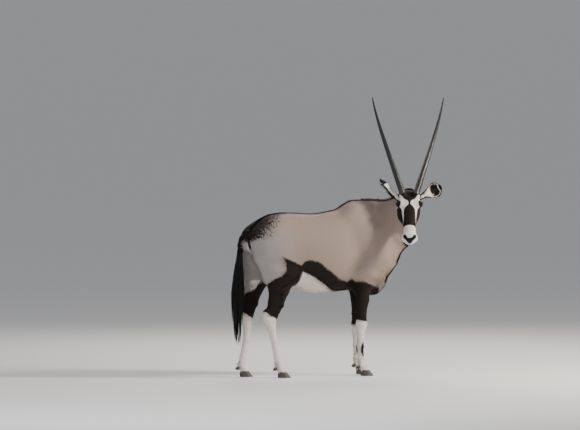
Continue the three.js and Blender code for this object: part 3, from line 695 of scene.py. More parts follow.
# The marks are drawn for the right side. On the left they follow the legs, which stand elsewhere.
def body_marks(p):
    x, y, z = p.T
    left = y > 0
    lateral, rise = neck_place(p)
    drawn = np.column_stack([np.where(left & (x < 0), x * LEFT_BAND, x), z])
    band = polygon_field(drawn, FLANK_BAND)

    # The left thigh is pale further down at the back.
    thigh_x = x + np.where(left, leg_shift(z), 0)
    rear = ramp(-thigh_x, 270, 60) * ramp(z, 500, 60) * left
    thigh = polygon_field(np.column_stack([thigh_x, z + 95 * rear]), THIGH_MARK)
    thigh = np.where(z > 610, np.maximum(thigh, 62 - np.abs(y)), thigh)

    arm_x = x - np.where(left, np.interp(z, [560, 650], [FORE_SHIFT[1], 0]), 0)
    arm = polygon_field(np.column_stack([arm_x, z]), FOREARM_MARK)
    arm = np.where((x > 150) & (z < 400) & (z > 330) & left, 345 - z, arm)
    shank = np.sqrt(((z - 185) / 50) ** 2 + ((x - fore_middle(y) - 22) / 30) ** 2) * 26 - 26

    brisket = np.maximum(np.abs(y) - BRISKET_HALF, z - 640) + np.maximum(300 - x, 0)
    throat = np.abs(lateral - 16) - THROAT_HALF + np.maximum(rise + 40, 0)
    chest = np.where(x > 420, np.abs(y + 5) - CHEST_HALF, FAR)
    throat = np.where((x > 420) & (z > 640), throat, chest)
    spine = beside_spine(p) - SPINE_HALF + np.maximum(1040 - z, 0)
    spine = spine + np.where(x > 380, np.maximum(20 - rise, 0), 0)
    # Painted shade: a black patch in the hollow between the tail and each buttock
    spot = capsule(folded(p), SHADE_SPOT_TOP, SHADE_SPOT_FOOT, SHADE_SPOT_RADIUS)
    dark = np.minimum.reduce([band, thigh, arm, shank, brisket, throat, spine, spot])
    dark = np.where(DOCK_TUBE(p) < 6, -20, dark)

    legs = np.where(x > 60, z - FORE_WHITE + LEFT_FORE_LESS * left, z - HIND_WHITE)
    inner = np.maximum.reduce([np.abs(y) - 70, z - 660, x - 250])
    # A white ring of hair round the painted shade beside the tail
    white = np.minimum.reduce([polygon_field(drawn, BELLY_WHITE), legs, inner, spot - 7])
    return dark, white


def fore_middle(y):
    return 277 + np.where(y > 0, FORE_SHIFT[1], 0)


# The dark and the white of the face, and the nose's wet pad, from places folded onto one half
def head_marks(q):
    x, y, z = q.T
    beside = q[:, [0, 2]]
    face = polygon_field(q[:, :2], FACE_MARK) + np.maximum(-30 - z, 0)
    stripe = np.maximum(polygon_field(beside, EYE_MARK), 44 - y - 16 * (z < -50))
    eyes = np.linalg.norm(q - EYE_CENTRE, axis=1) - 27
    pad = capsule(q, (366, 0, -58), (366, 0, -46), 20)
    pad = np.minimum(pad, capsule(q, (364, 10, -46), (342, 38, -26), 12))
    lips = np.abs(z - mouth_height(x)) - np.interp(x, [300, 345], [2.6, 6.0]) + np.maximum(292 - x, 0)
    dark = np.minimum.reduce([face, stripe, eyes, pad, lips])
    white = np.minimum(polygon_field(beside, FACE_WHITE), MUZZLE_START - x)
    return dark, white, pad


# The speckled top of the rump, black towards the tail: 0 where it is solid and 1 where it ends
def rump_marks(p):
    x, y, z = p.T
    down = np.abs(y) + 0.8 * np.maximum(TRUNK_AT(x, 1) - z, 0)
    stations = [230, 300, 347, 417, 480, 540]
    solid = np.interp(-x, stations, [2, 10, 46, 110, 150, 170])
    faded = np.interp(-x, stations, [30, 110, 225, 330, 390, 400])
    return (down - solid) / (faded - solid) + np.maximum(x + 240, 0) / 40 + np.maximum(962 - z, 0) / 40


def markings(p):
    x, y, z = p.T
    q = folded(to_head(p))
    on_head = (HEAD(p) < 12) & (q[:, 0] > -46)
    dark, white = body_marks(p)
    dark_head, white_head, pad = head_marks(q)
    pale = 0.85 * ramp(-x, 230, 190) * ramp(-z, -1080, 160)
    pale = np.maximum(pale, 0.75 * ramp(-z, -640, 60))
    leg_back = np.where(x > 60, fore_middle(y) - 6, np.where(y > 0, -532, -337))
    return {
        "dark": np.clip(np.where(on_head, dark_head, dark), -MARK_LIMIT, MARK_LIMIT),
        "white": np.clip(np.where(on_head, white_head, white), -MARK_LIMIT, MARK_LIMIT),
        "rump": np.where(on_head, RUMP_LIMITS[1], np.clip(rump_marks(p), *RUMP_LIMITS)),
        "soft": np.where(on_head, RAGGED_HEAD, np.where(z > 480, RAGGED_BODY, RAGGED_LEG)),
        "pale": np.where(on_head, 0.55, pale),
        "wet": np.where(on_head, np.clip(pad, -20, 20), 20.0),
        "on_back": leg_back - x,
    }


# The lie of the coat: backwards on the trunk, down the neck and the legs, up from the nose
TRUNK_LIE, LEG_LIE, NECK_LIE = np.array([(-1, 0, -0.38), (-0.12, 0, -1), (-0.55, 0.15, -0.85)])
HEAD_LIE = -HEAD_TURN[:, 0]


def coat_lie(p, normals):
    x, _, z = p.T
    head = ramp(-HEAD(p), -12, 30) * (to_head(p)[:, 0] > -20)
    neck = ramp(-NECK_TUBE(p), -12, 40) * ramp(x, 380, 120) * (1 - head)
    leg = ramp(-z, -700, 120) * (1 - head) * (1 - neck)
    trunk = 1 - np.maximum(np.maximum(head, neck), leg)
    way = sum(np.outer(share, lie) for share, lie in (
        (trunk, TRUNK_LIE), (leg, LEG_LIE), (neck, NECK_LIE), (head, HEAD_LIE),
    ))
    return along_skin(way, normals), {"on_trunk": trunk, "on_leg": leg, "on_neck": neck, "on_head": head}


# Materials
class Nodes:
    def __init__(self, name):
        self.material = bpy.data.materials.new(name)
        self.material.use_nodes = True
        self.tree = self.material.node_tree
        self.shader = self.tree.nodes["Principled BSDF"]

    def add(self, kind, **values):
        node = self.tree.nodes.new(kind)
        for name, value in values.items():
            setattr(node, name, value)
        return node

    # A socket takes a number, a colour or another node's output.
    def feed(self, socket, value):
        if isinstance(value, (int, float)):
            socket.default_value = value
        elif isinstance(value, tuple):
            socket.default_value = (*value, 1)
        else:
            self.tree.links.new(value, socket)

    def fill(self, node, **values):
        for name, value in values.items():
            self.feed(node.inputs[name.replace("_", " ")], value)

    def surface(self, **values):
        self.fill(self.shader, **values)

    def attribute(self, name):
        return self.add("ShaderNodeAttribute", attribute_name=name).outputs["Fac"]

    def math(self, operation, *values):
        node = self.add("ShaderNodeMath", operation=operation)
        for socket, value in zip(node.inputs, values):
            self.feed(socket, value)
        return node.outputs[0]

    def plus(self, a, b):
        return self.math("ADD", a, b)

    def times(self, a, b):
        return self.math("MULTIPLY", a, b)

    # A falling step: 1 below -width, 0 above width
    def inside(self, value, width):
        node = self.add("ShaderNodeMapRange", interpolation_type="SMOOTHSTEP")
        self.fill(node, Value=value, From_Min=-width, From_Max=width, To_Min=1.0, To_Max=0.0)
        return node.outputs["Result"]

    def mix(self, factor, a, b):
        node = self.add("ShaderNodeMix", data_type="RGBA")
        for index, value in ((0, factor), (6, a), (7, b)):
            self.feed(node.inputs[index], value)
        return node.outputs[2]

    def noise(self, scale, detail=2.0, stretch=None, turn=None, roughness=0.5):
        place = self.add("ShaderNodeTexCoord").outputs["Object"]
        if stretch:
            mapping = self.add("ShaderNodeMapping")
            mapping.inputs["Scale"].default_value = stretch
            if turn:
                mapping.vector_type = "TEXTURE"
                mapping.inputs["Rotation"].default_value = turn
                mapping.inputs["Scale"].default_value = [1 / s for s in stretch]
            self.fill(mapping, Vector=place)
            place = mapping.outputs[0]
        node = self.add("ShaderNodeTexNoise")
        self.fill(node, Scale=scale, Detail=detail, Roughness=roughness, Vector=place)
        return node.outputs["Fac"]

    def bump(self, height, distance, strength):
        node = self.add("ShaderNodeBump")
        self.fill(node, Distance=distance, Strength=strength, Height=height)
        self.surface(Normal=node.outputs[0])


FAWN = (0.275, 0.195, 0.15)
FAWN_GREY = (0.235, 0.195, 0.175)
PALE_GREY = (0.28, 0.262, 0.25)
WHITE_HAIR = (0.70, 0.67, 0.62)
CREAM = (0.54, 0.48, 0.41)
BLACK_HAIR = (0.004, 0.0034, 0.0032)
BROWN_HAIR = (0.016, 0.009, 0.0065)
WET_SKIN = (0.006, 0.005, 0.005)
HORN_BLACK, HORN_GREY, HORN_ROOT = (0.004, 0.0036, 0.0034), (0.020, 0.016, 0.013), (0.07, 0.055, 0.042)
# Painted shade in the horns' ring grooves, darkest where the rings dip deepest
GROOVE_PAINTED_SHADE = (0.004, 0.003, 0.003)
HOOF_DARK, HOOF_GREY, DUST = (0.020, 0.016, 0.014), (0.062, 0.048, 0.038), (0.19, 0.155, 0.12)
IRIS_DARK, IRIS_BROWN = (0.008, 0.004, 0.002), (0.040, 0.017, 0.007)
PUPIL_BLACK, EYE_RIM = (0.002, 0.002, 0.002), (0.022, 0.016, 0.013)
TAIL_BLACK, TAIL_BROWN = (0.0015, 0.0014, 0.0014), (0.013, 0.010, 0.0085)

# The skin's painted hairs lie along the coat: for each part, their stretch and turn
STROKES = [
    ("on_trunk", (0.18, 1, 1), (0, math.radians(-20), 0)),
    ("on_leg", (1, 1, 0.16), (0, 0, 0.001)),
    ("on_neck", (1, 1, 0.18), (0, math.radians(32), 0)),
    ("on_head", (0.2, 1, 1), (0, HEAD_PITCH, HEAD_YAW)),
]


def coat_material(name, strands):
    n = Nodes(name)
    blotch = n.noise(7.0, 3.0)
    fine = n.noise(260.0)
    ragged = n.noise(55.0, 3.0)
    grain = n.noise(900.0)
    base = n.mix(n.attribute("pale"), n.mix(blotch, FAWN, FAWN_GREY), PALE_GREY)
    edge = n.times(n.math("SUBTRACT", n.plus(ragged, fine), 1.0), n.attribute("soft"))
    edge = n.times(edge, 3.0)
    white = n.inside(n.plus(n.attribute("white"), edge), 4.0)
    dark = n.inside(n.plus(n.attribute("dark"), edge), 2.0)
    speckle = n.times(n.math("SUBTRACT", n.noise(105.0, 4.0, roughness=0.8), 0.5), 5.0)
    rump = n.inside(n.plus(n.math("SUBTRACT", n.attribute("rump"), 0.42), speckle), 0.12)
    dark_hair = n.mix(blotch, BLACK_HAIR, BROWN_HAIR)
    coloured = n.mix(white, base, n.mix(ragged, WHITE_HAIR, CREAM))
    coloured = n.mix(dark, n.mix(rump, coloured, dark_hair), dark_hair)
    scaled = n.add("ShaderNodeVectorMath", operation="SCALE")
    n.fill(scaled, Vector=coloured)
    shade = n.math("MULTIPLY_ADD", grain, 0.5, 0.72) if strands else n.math("MULTIPLY_ADD", fine, 0.3, 0.84)
    n.fill(scaled, Scale=shade)
    wet = n.inside(n.attribute("wet"), 1.5)
    n.surface(Base_Color=n.mix(wet, scaled.outputs[0], WET_SKIN), Specular_IOR_Level=0.12)
    n.surface(Roughness=n.math("MULTIPLY_ADD", wet, -0.3, 0.72))
    if not strands:
        height = n.times(fine, 0.25)
        for weight, stretch, turn in STROKES:
            strokes = n.noise(520.0, 3.0, stretch, turn, 0.65)
            height = n.plus(height, n.times(strokes, n.attribute(weight)))
        n.bump(height, 0.0022, 0.9)
    return n.material


def horn_material():
    n = Nodes("horn_keratin")
    long_grain = n.noise(300.0, 4.0, (1, 1, 0.06))
    worn = n.noise(14.0, 3.0)
    color = n.mix(long_grain, HORN_BLACK, HORN_GREY)
    color = n.mix(n.inside(n.attribute("root"), 0.06), color, HORN_ROOT)
    # Painted shade: the horn's colour darkens in the rings' grooves by their depth
    color = n.mix(n.times(n.attribute("groove"), 0.6), color, GROOVE_PAINTED_SHADE)
    n.surface(Base_Color=color, Roughness=n.math("MULTIPLY_ADD", worn, 0.2, 0.22), Specular_IOR_Level=0.6)
    n.bump(n.plus(long_grain, n.times(worn, 0.4)), 0.0012, 0.8)
    return n.material


def hoof_material():
    n = Nodes("hoof_keratin")
    lines = n.noise(90.0, 3.0, (0.3, 0.3, 3.0))
    grain = n.noise(420.0, 3.0, (1, 1, 0.12))
    dust = n.noise(38.0, 4.0)
    low = n.inside(n.attribute("height"), 9.0)
    color = n.mix(n.times(low, dust), n.mix(grain, HOOF_DARK, HOOF_GREY), DUST)
    n.surface(Base_Color=color, Roughness=n.math("MULTIPLY_ADD", dust, 0.3, 0.36))
    n.bump(n.plus(lines, n.times(grain, 0.5)), 0.0014, 0.8)
    return n.material


def eye_material():
    n = Nodes("eye_gloss")
    iris = n.mix(n.noise(300.0, 3.0), IRIS_DARK, IRIS_BROWN)
    color = n.mix(n.inside(n.attribute("pupil"), 0.9), iris, PUPIL_BLACK)
    color = n.mix(n.inside(n.attribute("iris"), 1.0), EYE_RIM, color)
    n.surface(Base_Color=color, Roughness=0.07, Coat_Weight=0.8, Coat_Roughness=0.03)
    return n.material


def ear_material():
    n = Nodes("ear_skin")
    edge = n.times(n.math("SUBTRACT", n.noise(90.0, 3.0), 0.5), 9.0)
    color = n.mix(n.noise(700.0, 3.0), WHITE_HAIR, CREAM)
    for mark, width in (("cup", 3.0), ("rim", 1.2)):
        color = n.mix(n.inside(n.plus(n.attribute(mark), edge), width), color, BLACK_HAIR)
    n.surface(Base_Color=color, Roughness=0.75, Specular_IOR_Level=0.2)
    n.bump(n.noise(420.0, 3.0, (1, 1, 0.25)), 0.0012, 0.7)
    return n.material


def tail_material():
    n = Nodes("tail_strands")
    color = n.mix(n.noise(160.0, 3.0, (1, 1, 0.03)), TAIL_BLACK, TAIL_BROWN)
    n.surface(Base_Color=color, Roughness=0.55, Specular_IOR_Level=0.25)
    return n.material


SKIN = coat_material("skin_coat", False)
STRANDS = coat_material("coat_strands", True)
HORN = horn_material()
HOOF = hoof_material()
EYE = eye_material()
EAR = ear_material()
TAIL = tail_material()


def read(items, key, width, kind=float):
    values = np.empty(len(items) * width, kind)
    items.foreach_get(key, values)
    return values.reshape(-1, width)


# Edges in the wanted places are halved.
def refine(points, faces, wanted):
    mesh = bpy.data.meshes.new("refining")
    mesh.from_pydata(points, [], faces)
    work = bmesh.new()
    work.from_mesh(mesh)
    work.verts.ensure_lookup_table()
    middles = np.array([(e.verts[0].co + e.verts[1].co) / 2 for e in work.edges])
    chosen = [e for e, near in zip(work.edges, wanted(middles)) if near]
    bmesh.ops.subdivide_edges(work, edges=chosen, cuts=1, use_grid_fill=True)
    bmesh.ops.triangulate(work, faces=[f for f in work.faces if len(f.verts) > 4])
    work.to_mesh(mesh)
    work.free()
    fine = read(mesh.vertices, "co", 3)
    sides = [tuple(face.vertices) for face in mesh.polygons]
    bpy.data.meshes.remove(mesh)
    return fine, sides


def near_face(p):
    return (HEAD(p) < 10) & (to_head(p)[:, 0] > -5)


def near_fold(p):
    q = folded(to_head(p))
    eye = np.linalg.norm(q - EYE_CENTRE, axis=1) < 34
    nose = np.linalg.norm(q - (352, 16, -52), axis=1) < 46
    mouth = (q[:, 0] > 290) & (np.abs(q[:, 2] + 76) < 12)
    return (HEAD(p) < 12) & (eye | nose | mouth)


SKIN_LOW, SKIN_HIGH = np.array([-650.0, -520.0, -4.0]), (760, 300, 1330)


# The skin: one mesh over the trunk, neck, head, legs and dock
def build_skin():
    points, faces = surface_nets(skin_field, SKIN_LOW, SKIN_HIGH, SKIN_CELL)
    points, faces = settled(skin_field, points, SKIN_CELL * 0.45), faces.tolist()
    for wanted, most in ((near_face, 1.6), (near_fold, 1.2)):
        points, faces = refine(points, faces, wanted)
        moving = np.flatnonzero(wanted(points))
        points[moving] = settled(skin_field, points[moving], most, 3)
    _, weights = coat_lie(points, slope(skin_field, points))
    skin = mesh_object("skin", points, faces, SKIN, {**markings(points), **weights})
    flesh_nodes = ["torso", "neck", "head", "tail_dock"]
    for side in LABELS.values():
        flesh_nodes += [f"{part}_{side}" for part in ("forearm", "fore_shank", "gaskin", "hind_shank")]
    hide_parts(*flesh_nodes)
    return skin, points


skin, skin_points = build_skin()


# Rings of points, one after another, joined and closed at both ends
def ring_faces(rings, sides):
    faces = []
    for start in range(0, (rings - 1) * sides, sides):
        for i in range(sides):
            j = (i + 1) % sides
            faces.append((start + i, start + j, start + sides + j, start + sides + i))
    faces.append(tuple(range(sides))[::-1])
    faces.append(tuple(range((rings - 1) * sides, rings * sides)))
    return faces


# Horns: long straight cones with close rings on the lower part and a smooth tip
HORN_RINGS = 27
RINGED = 0.58
RING_DEPTH = 0.17
HORN_STEPS, HORN_SIDES = 420, 30
HORN_BURIED = 0.012


def horn_point(side, s):
    spread = HORN_BASE[1] + HORN_SPREAD * (1.16 * s - 0.16 * s ** 4)
    rise = HORN_BASE[2] + HORN_LENGTH * (0.05 * s - 0.07 * s * s)
    return np.array([HORN_BASE[0] - HORN_LENGTH * 0.955 * s, side * spread, rise])


def horn_radius(s):
    return 23 * max(1 - s, 0) ** 0.78 + 3 * s


def build_horn(side):
    points, groove, root = [], [], []
    for i in range(HORN_STEPS):
        s = -HORN_BURIED + (1 + HORN_BURIED) * i / (HORN_STEPS - 1)
        at = max(s, 0)
        along = horn_point(side, s + 0.004) - horn_point(side, s - 0.004)
        along /= np.linalg.norm(along)
        first = square_to(along, UP)
        second = np.cross(along, first)
        wave = (at / RINGED * HORN_RINGS) % 1
        fade = np.clip((RINGED - at) / 0.12, 0, 1)
        tip = max((s - 0.985) / 0.015, 0)
        for k in range(HORN_SIDES):
            angle = 2 * math.pi * k / HORN_SIDES
            uneven = (wave + 0.05 * math.sin(2 * angle + at * 40)) % 1
            # The rings are deepest in front.
            dip = (1 - math.sin(math.pi * uneven) ** 0.45) * fade * (0.65 + 0.35 * math.cos(angle))
            r = horn_radius(at) * (1.035 - RING_DEPTH * dip) * math.sqrt(max(1 - tip ** 2, 0.01))
            r *= 1 + 0.012 * math.sin(5 * angle + 9 * at)
            offset = first * math.cos(angle) * r * 1.06 + second * math.sin(angle) * r * 0.94
            points.append(from_head(horn_point(side, s) + offset))
            groove.append(dip)
            root.append(at)
    faces = ring_faces(HORN_STEPS, HORN_SIDES)
    # The groove attribute is the rings' depth, which paints shade into the horn's grooves
    attributes = {"groove": groove, "root": root}
    piece = mesh_object(f"horn_{LABELS[side]}_ringed", points, faces, HORN, attributes)
    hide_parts(f"horn_{LABELS[side]}")


# Ears: a sheet rolled round the cup's axis, tight at the base and open at the tip
EARS = {
    -1: {"base": (26, -80, 2), "tip": (-104, -200, 34), "cup": (0.25, -0.62, -0.3), "width": 44},
    1: {"base": (26, 80, 2), "tip": (-58, 222, 10), "cup": (0.62, 0.1, 0.79), "width": 50},
}
EAR_ROWS, EAR_COLUMNS = 48, 30
EAR_BURIED = 0.13
# The roll, half the angle round the cup, and the sheet's thickness, at the base and at the tip
EAR_ROLL = (2.5, 1.15)
EAR_THICKNESS = (6, 3.2)
# The cup's middle line in front of the ear's line, as a share of its half width
CUP_MIDDLE = 0.75
# How deep in the sheet the two faces lie
OUTSIDE, INSIDE = 0.9, 0.1
# The black tip's length on the outside, which differs between the ears, and in the cup
EAR_BLACK = {-1: 62, 1: 30}
CUP_TIP_BLACK = 17


def between(ends, t):
    return ends[0] + (ends[1] - ends[0]) * t


def ear_width(u):
    u = min(max(u, 0), 1)
    return 0.3 + 0.7 * max(math.sin(math.pi * u ** 1.6), 0) ** 1.1 - 0.25 * u ** 8


def ear_axes(side):
    spec = EARS[side]
    base, tip = from_head(spec["base"]), from_head(spec["tip"])
    length = np.linalg.norm(tip - base)
    along = (tip - base) / length
    face = square_to(along, HEAD_TURN @ np.array(spec["cup"], float))
    return base, along, length, face, np.cross(along, face)


def ear_point(side, u, v, depth):
    base, along, length, face, across = ear_axes(side)
    half = EARS[side]["width"] * max(ear_width(min(u, 0.999)), 0.07)
    roll = between(EAR_ROLL, min(max(u, 0) * 2.2, 1))
    thick = between(EAR_THICKNESS, u) * depth
    angle = roll * v
    curve = half / max(math.sin(min(roll, math.pi / 2)), 0.5)
    r = curve + thick * (1 - 0.55 * abs(v) ** 3)
    spot = base + along * length * u + across * r * math.sin(angle)
    return spot + face * (half * CUP_MIDDLE - r * math.cos(angle))


# The black tip and rim, and the black patch in the cup, as millimetres from their edges
def ear_marks(side, u, v, outside):
    _, _, length, _, _ = ear_axes(side)
    half = EARS[side]["width"] * ear_width(min(u, 0.999))
    from_side, from_tip = (1 - abs(v)) * half * 1.3, (1 - u) * length
    rim = min(from_side - 5.5, from_tip - (EAR_BLACK[side] if outside else CUP_TIP_BLACK))
    cup = 60 if outside else 15 - min(from_side, from_tip - 9, length * (u - 0.42))
    return rim, cup


def build_ear(side):
    points, marks = [], []
    for i in range(EAR_ROWS + 1):
        u = (1 + EAR_BURIED) * i / EAR_ROWS - EAR_BURIED
        for depth, turn in ((OUTSIDE, 1), (INSIDE, -1)):
            for j in range(EAR_COLUMNS + 1):
                v = (2 * j / EAR_COLUMNS - 1) * turn
                points.append(ear_point(side, u, v, depth))
                marks.append(ear_marks(side, u, v, depth == OUTSIDE))
    rim, cup = np.array(marks).T
    faces = ring_faces(EAR_ROWS + 1, 2 * (EAR_COLUMNS + 1))
    piece = mesh_object(f"ear_{LABELS[side]}_skin", points, faces, EAR, {"cup": cup, "rim": rim})
    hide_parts(f"ear_{LABELS[side]}")


# Eyes: balls with a bulging cornea, an iris and a slot for the pupil
EYE_RINGS, EYE_SIDES = 40, 48
PUPIL_SIZE, PUPIL_SLOT = 0.36, 1.7
IRIS_ANGLE = 0.98


def build_eye(side):
    place = EYE_CENTRE * (1, side, 1)
    points, pupil, iris = [], [], []
    for i in range(EYE_RINGS):
        polar = math.pi * (i + 0.5) / EYE_RINGS
        bulge = 1 + 0.05 * math.exp(-(polar / 0.5) ** 2)
        for k in range(EYE_SIDES):
            angle = 2 * math.pi * k / EYE_SIDES
            a, b = math.sin(polar) * math.cos(angle), math.sin(polar) * math.sin(angle)
            points.append(from_head(place + EYE_RADIUS * bulge * np.array([a, side * math.cos(polar), b])))
            pupil.append((math.hypot(a, b * PUPIL_SLOT) - PUPIL_SIZE) * EYE_RADIUS)
            iris.append((polar - IRIS_ANGLE) * EYE_RADIUS)
    faces = ring_faces(EYE_RINGS, EYE_SIDES)
    piece = mesh_object(f"eye_{LABELS[side]}_ball", points, faces, EYE, {"pupil": pupil, "iris": iris})
    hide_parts(f"eye_{LABELS[side]}")


# Hooves: two claws, flat underneath and narrower at the toe
CLAW_RINGS, CLAW_SIDES = 22, 40
CLEFT = 2
# Each claw at the sole and at the coronet: its middle ahead of the joint, its reach as a share of its
# length, its half width and its distance to the side
CLAW_AHEAD, CLAW_REACH, CLAW_HALF, CLAW_ASIDE = (20, 3), (0.5, 0.31), (16, 14), (17.5, 14.5)
DEW_RINGS, DEW_SIDES = 10, 16
DEW_RADIUS, DEW_HEIGHT = 8.5, (48, 73)


def claw(x, y, side):
    inner = y + side * CLEFT
    points = []
    for i in range(CLAW_RINGS):
        z = CORONET_HEIGHT * i / (CLAW_RINGS - 1)
        t = z / CORONET_HEIGHT
        middle, centre = x + between(CLAW_AHEAD, t), y + side * between(CLAW_ASIDE, t)
        groove = 1 + 0.012 * math.sin(t * 30) - 0.05 * math.exp(-t * 24)
        length, width = CLAW_LENGTH * between(CLAW_REACH, t) * groove, between(CLAW_HALF, t) * groove
        for k in range(CLAW_SIDES):
            angle = 2 * math.pi * k / CLAW_SIDES
            px = middle + length * math.cos(angle)
            py = centre + width * math.copysign(abs(math.sin(angle)) ** 0.85, math.sin(angle))
            ahead = max(math.cos(angle), 0) ** 2
            points.append((px, inner + (py - inner) * (1 - 0.45 * ahead) - side * ahead, z))
    return points, ring_faces(CLAW_RINGS, CLAW_SIDES)


def dew_claw(x, y, side):
    points = []
    for i in range(DEW_RINGS):
        t = i / (DEW_RINGS - 1)
        r = DEW_RADIUS * math.sqrt(max(1 - (2 * t - 1) ** 2, 0.02))
        for k in range(DEW_SIDES):
            angle = 2 * math.pi * k / DEW_SIDES
            px = x - 36 + 14 * t + r * math.cos(angle) * 0.9
            points.append((px, y + side * 14 + r * math.sin(angle), between(DEW_HEIGHT, t)))
    return points, ring_faces(DEW_RINGS, DEW_SIDES)


# A claw to each side of the foot, as one mesh
def paired(name, one, x, y):
    (points, faces), (others, _) = one(x, y, -1), one(x, y, 1)
    faces = faces + [tuple(v + len(points) for v in face) for face in faces]
    points = points + others
    piece = mesh_object(name, points, faces, HOOF, {"height": [p[2] for p in points]})
    return piece


def build_hoof(node, joints, side, shift):
    coronet, fetlock = joints[CORONET], joints[FETLOCK]
    claws = paired(f"{node}_claws", claw, coronet[0] + shift + 2, coronet[1] * side)
    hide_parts(node)
    paired(f"{node}_dew_claws", dew_claw, fetlock[0] + shift, fetlock[1] * side)


for side in LABELS:
    build_horn(side)
    build_ear(side)
    build_eye(side)
for node, (joints, side, shift) in FEET.items():
    build_hoof(node, joints, side, shift)

# Each tuft has its own small patch on the skin's unwrap.
BAKE_MAP = "OFBake"
PATCH = 0.003


def unwrap(piece):
    bpy.ops.object.select_all(action="DESELECT")
    piece.select_set(True)
    bpy.context.view_layer.objects.active = piece
    piece.data.uv_layers.new(name=BAKE_MAP)
    bpy.ops.object.mode_set(mode="EDIT")
    bpy.ops.mesh.select_all(action="SELECT")
    bpy.ops.uv.smart_project(angle_limit=math.radians(70), island_margin=PATCH)
    bpy.ops.object.mode_set(mode="OBJECT")


unwrap(skin)


# One mesh of many alike strands, from the pattern of one
def strand_object(name, points, pattern, each, spots, material, attributes):
    count = len(points) // each
    loops = np.concatenate([np.array(face) for face in pattern])
    vertices = (np.arange(count)[:, None] * each + loops).ravel()
    totals = np.tile([len(face) for face in pattern], count)
    mesh = bpy.data.meshes.new(name)
    mesh.vertices.add(len(points))
    mesh.vertices.foreach_set("co", placed(points).ravel())
    mesh.loops.add(len(vertices))
    mesh.loops.foreach_set("vertex_index", vertices)
    mesh.polygons.add(len(totals))
    mesh.polygons.foreach_set("loop_start", np.concatenate([[0], np.cumsum(totals)[:-1]]))
    mesh.update(calc_edges=True)
    layer = mesh.uv_layers.new(name=BAKE_MAP)
    layer.uv.foreach_set("vector", np.clip(spots[vertices], 0, 1).ravel())
    piece = piece_of(mesh, material, {key: np.repeat(values, each) for key, values in attributes.items()})
    return piece


# The coat: thin closed tufts with three sides, each rooted in the skin
TUFT_FACES = [(0, 1, 4, 3), (1, 2, 5, 4), (2, 0, 3, 5), (3, 4, 6), (4, 5, 6), (5, 3, 6), (2, 1, 0)]
TUFT_POINTS = 7
TUFT_PATCH = np.array([(0, 0), (1, 0), (0.5, 0.4), (0, 0.6), (1, 0.6), (0.5, 0.8), (0.5, 1)])
# Half a tuft's width across, its rise off the skin as a share of the width, and its roots' depth
TUFT_HALF, TUFT_RISE = 0.5, 0.2
ROOT_DEPTH = 1.5


def tuft_mesh(name, roots, lie, normals, length, width, lift, places, attributes):
    count = len(roots)
    across = np.cross(lie, normals)
    across /= np.linalg.norm(across, axis=1)[:, None] + 1e-9
    length, width, lift = (np.broadcast_to(a, count)[:, None] for a in (length, width, lift))
    sunk = roots - normals * ROOT_DEPTH
    raised = lie * np.cos(lift) + normals * np.sin(lift)
    middle = sunk + raised * length * 0.5
    tip = sunk + raised * length * 0.92 + lie * length * 0.1 - normals * length * np.sin(lift) * 0.22
    rings = []
    for at, share in ((sunk, 1.0), (middle, 0.8)):
        for angle in (0, 2.1, 4.2):
            offset = across * math.cos(angle) * TUFT_HALF + normals * math.sin(angle) * TUFT_RISE
            rings.append(at + width * share * offset)
    points = np.stack([*rings, tip], 1).reshape(-1, 3)
    spots = (places[:, None, :] + (TUFT_PATCH - 0.5) * PATCH).reshape(-1, 2)
    return strand_object(name, points, TUFT_FACES, TUFT_POINTS, spots, STRANDS, attributes)


# The skin's triangles with their corners' places on the unwrap
def skin_triangles():
    mesh = skin.data
    mesh.calc_loop_triangles()
    corners = read(mesh.loop_triangles, "vertices", 3, int)
    loops = read(mesh.loop_triangles, "loops", 3, int)
    return skin_points[corners], read(mesh.uv_layers[BAKE_MAP].uv, "vector", 2)[loops]


TRIANGLES, TRIANGLE_SPOTS = skin_triangles()
TRIANGLE_MIDDLES = TRIANGLES.mean(axis=1)
TRIANGLE_SIDES = TRIANGLES[:, 1:] - TRIANGLES[:, :1]
TRIANGLE_AREAS = np.linalg.norm(np.cross(TRIANGLE_SIDES[:, 0], TRIANGLE_SIDES[:, 1]), axis=1) / 2


# Roots spread by area and by a density for each place
def spread_roots(density, count):
    weight = TRIANGLE_AREAS * np.clip(density, 0, None)
    chosen = rng.choice(len(TRIANGLES), count, p=weight / weight.sum())
    u, v = rng.random(count), rng.random(count)
    over = u + v > 1
    u[over], v[over] = 1 - u[over], 1 - v[over]
    share = np.stack([1 - u - v, u, v], 1)[:, :, None]
    p = (TRIANGLES[chosen] * share).sum(axis=1)
    g = slope(skin_field, p)
    return p, g / np.linalg.norm(g, axis=1)[:, None], (TRIANGLE_SPOTS[chosen] * share).sum(axis=1)


# A style gives each place its hair's length, the lift off the skin and its share of tufts.
def short_coat(p):
    x = to_head(p)[:, 0]
    head = (HEAD(p) < 10) & (x > -20)
    shank = ramp(-p[:, 2], -430, 60)
    length = np.where(head, 6.5, 15 - 6 * shank)
    length = np.where(head & (x > 280), 4.0, length)
    return length, np.full(len(p), 0.09), np.where(head, 2.4, 1 + 0.6 * shank)


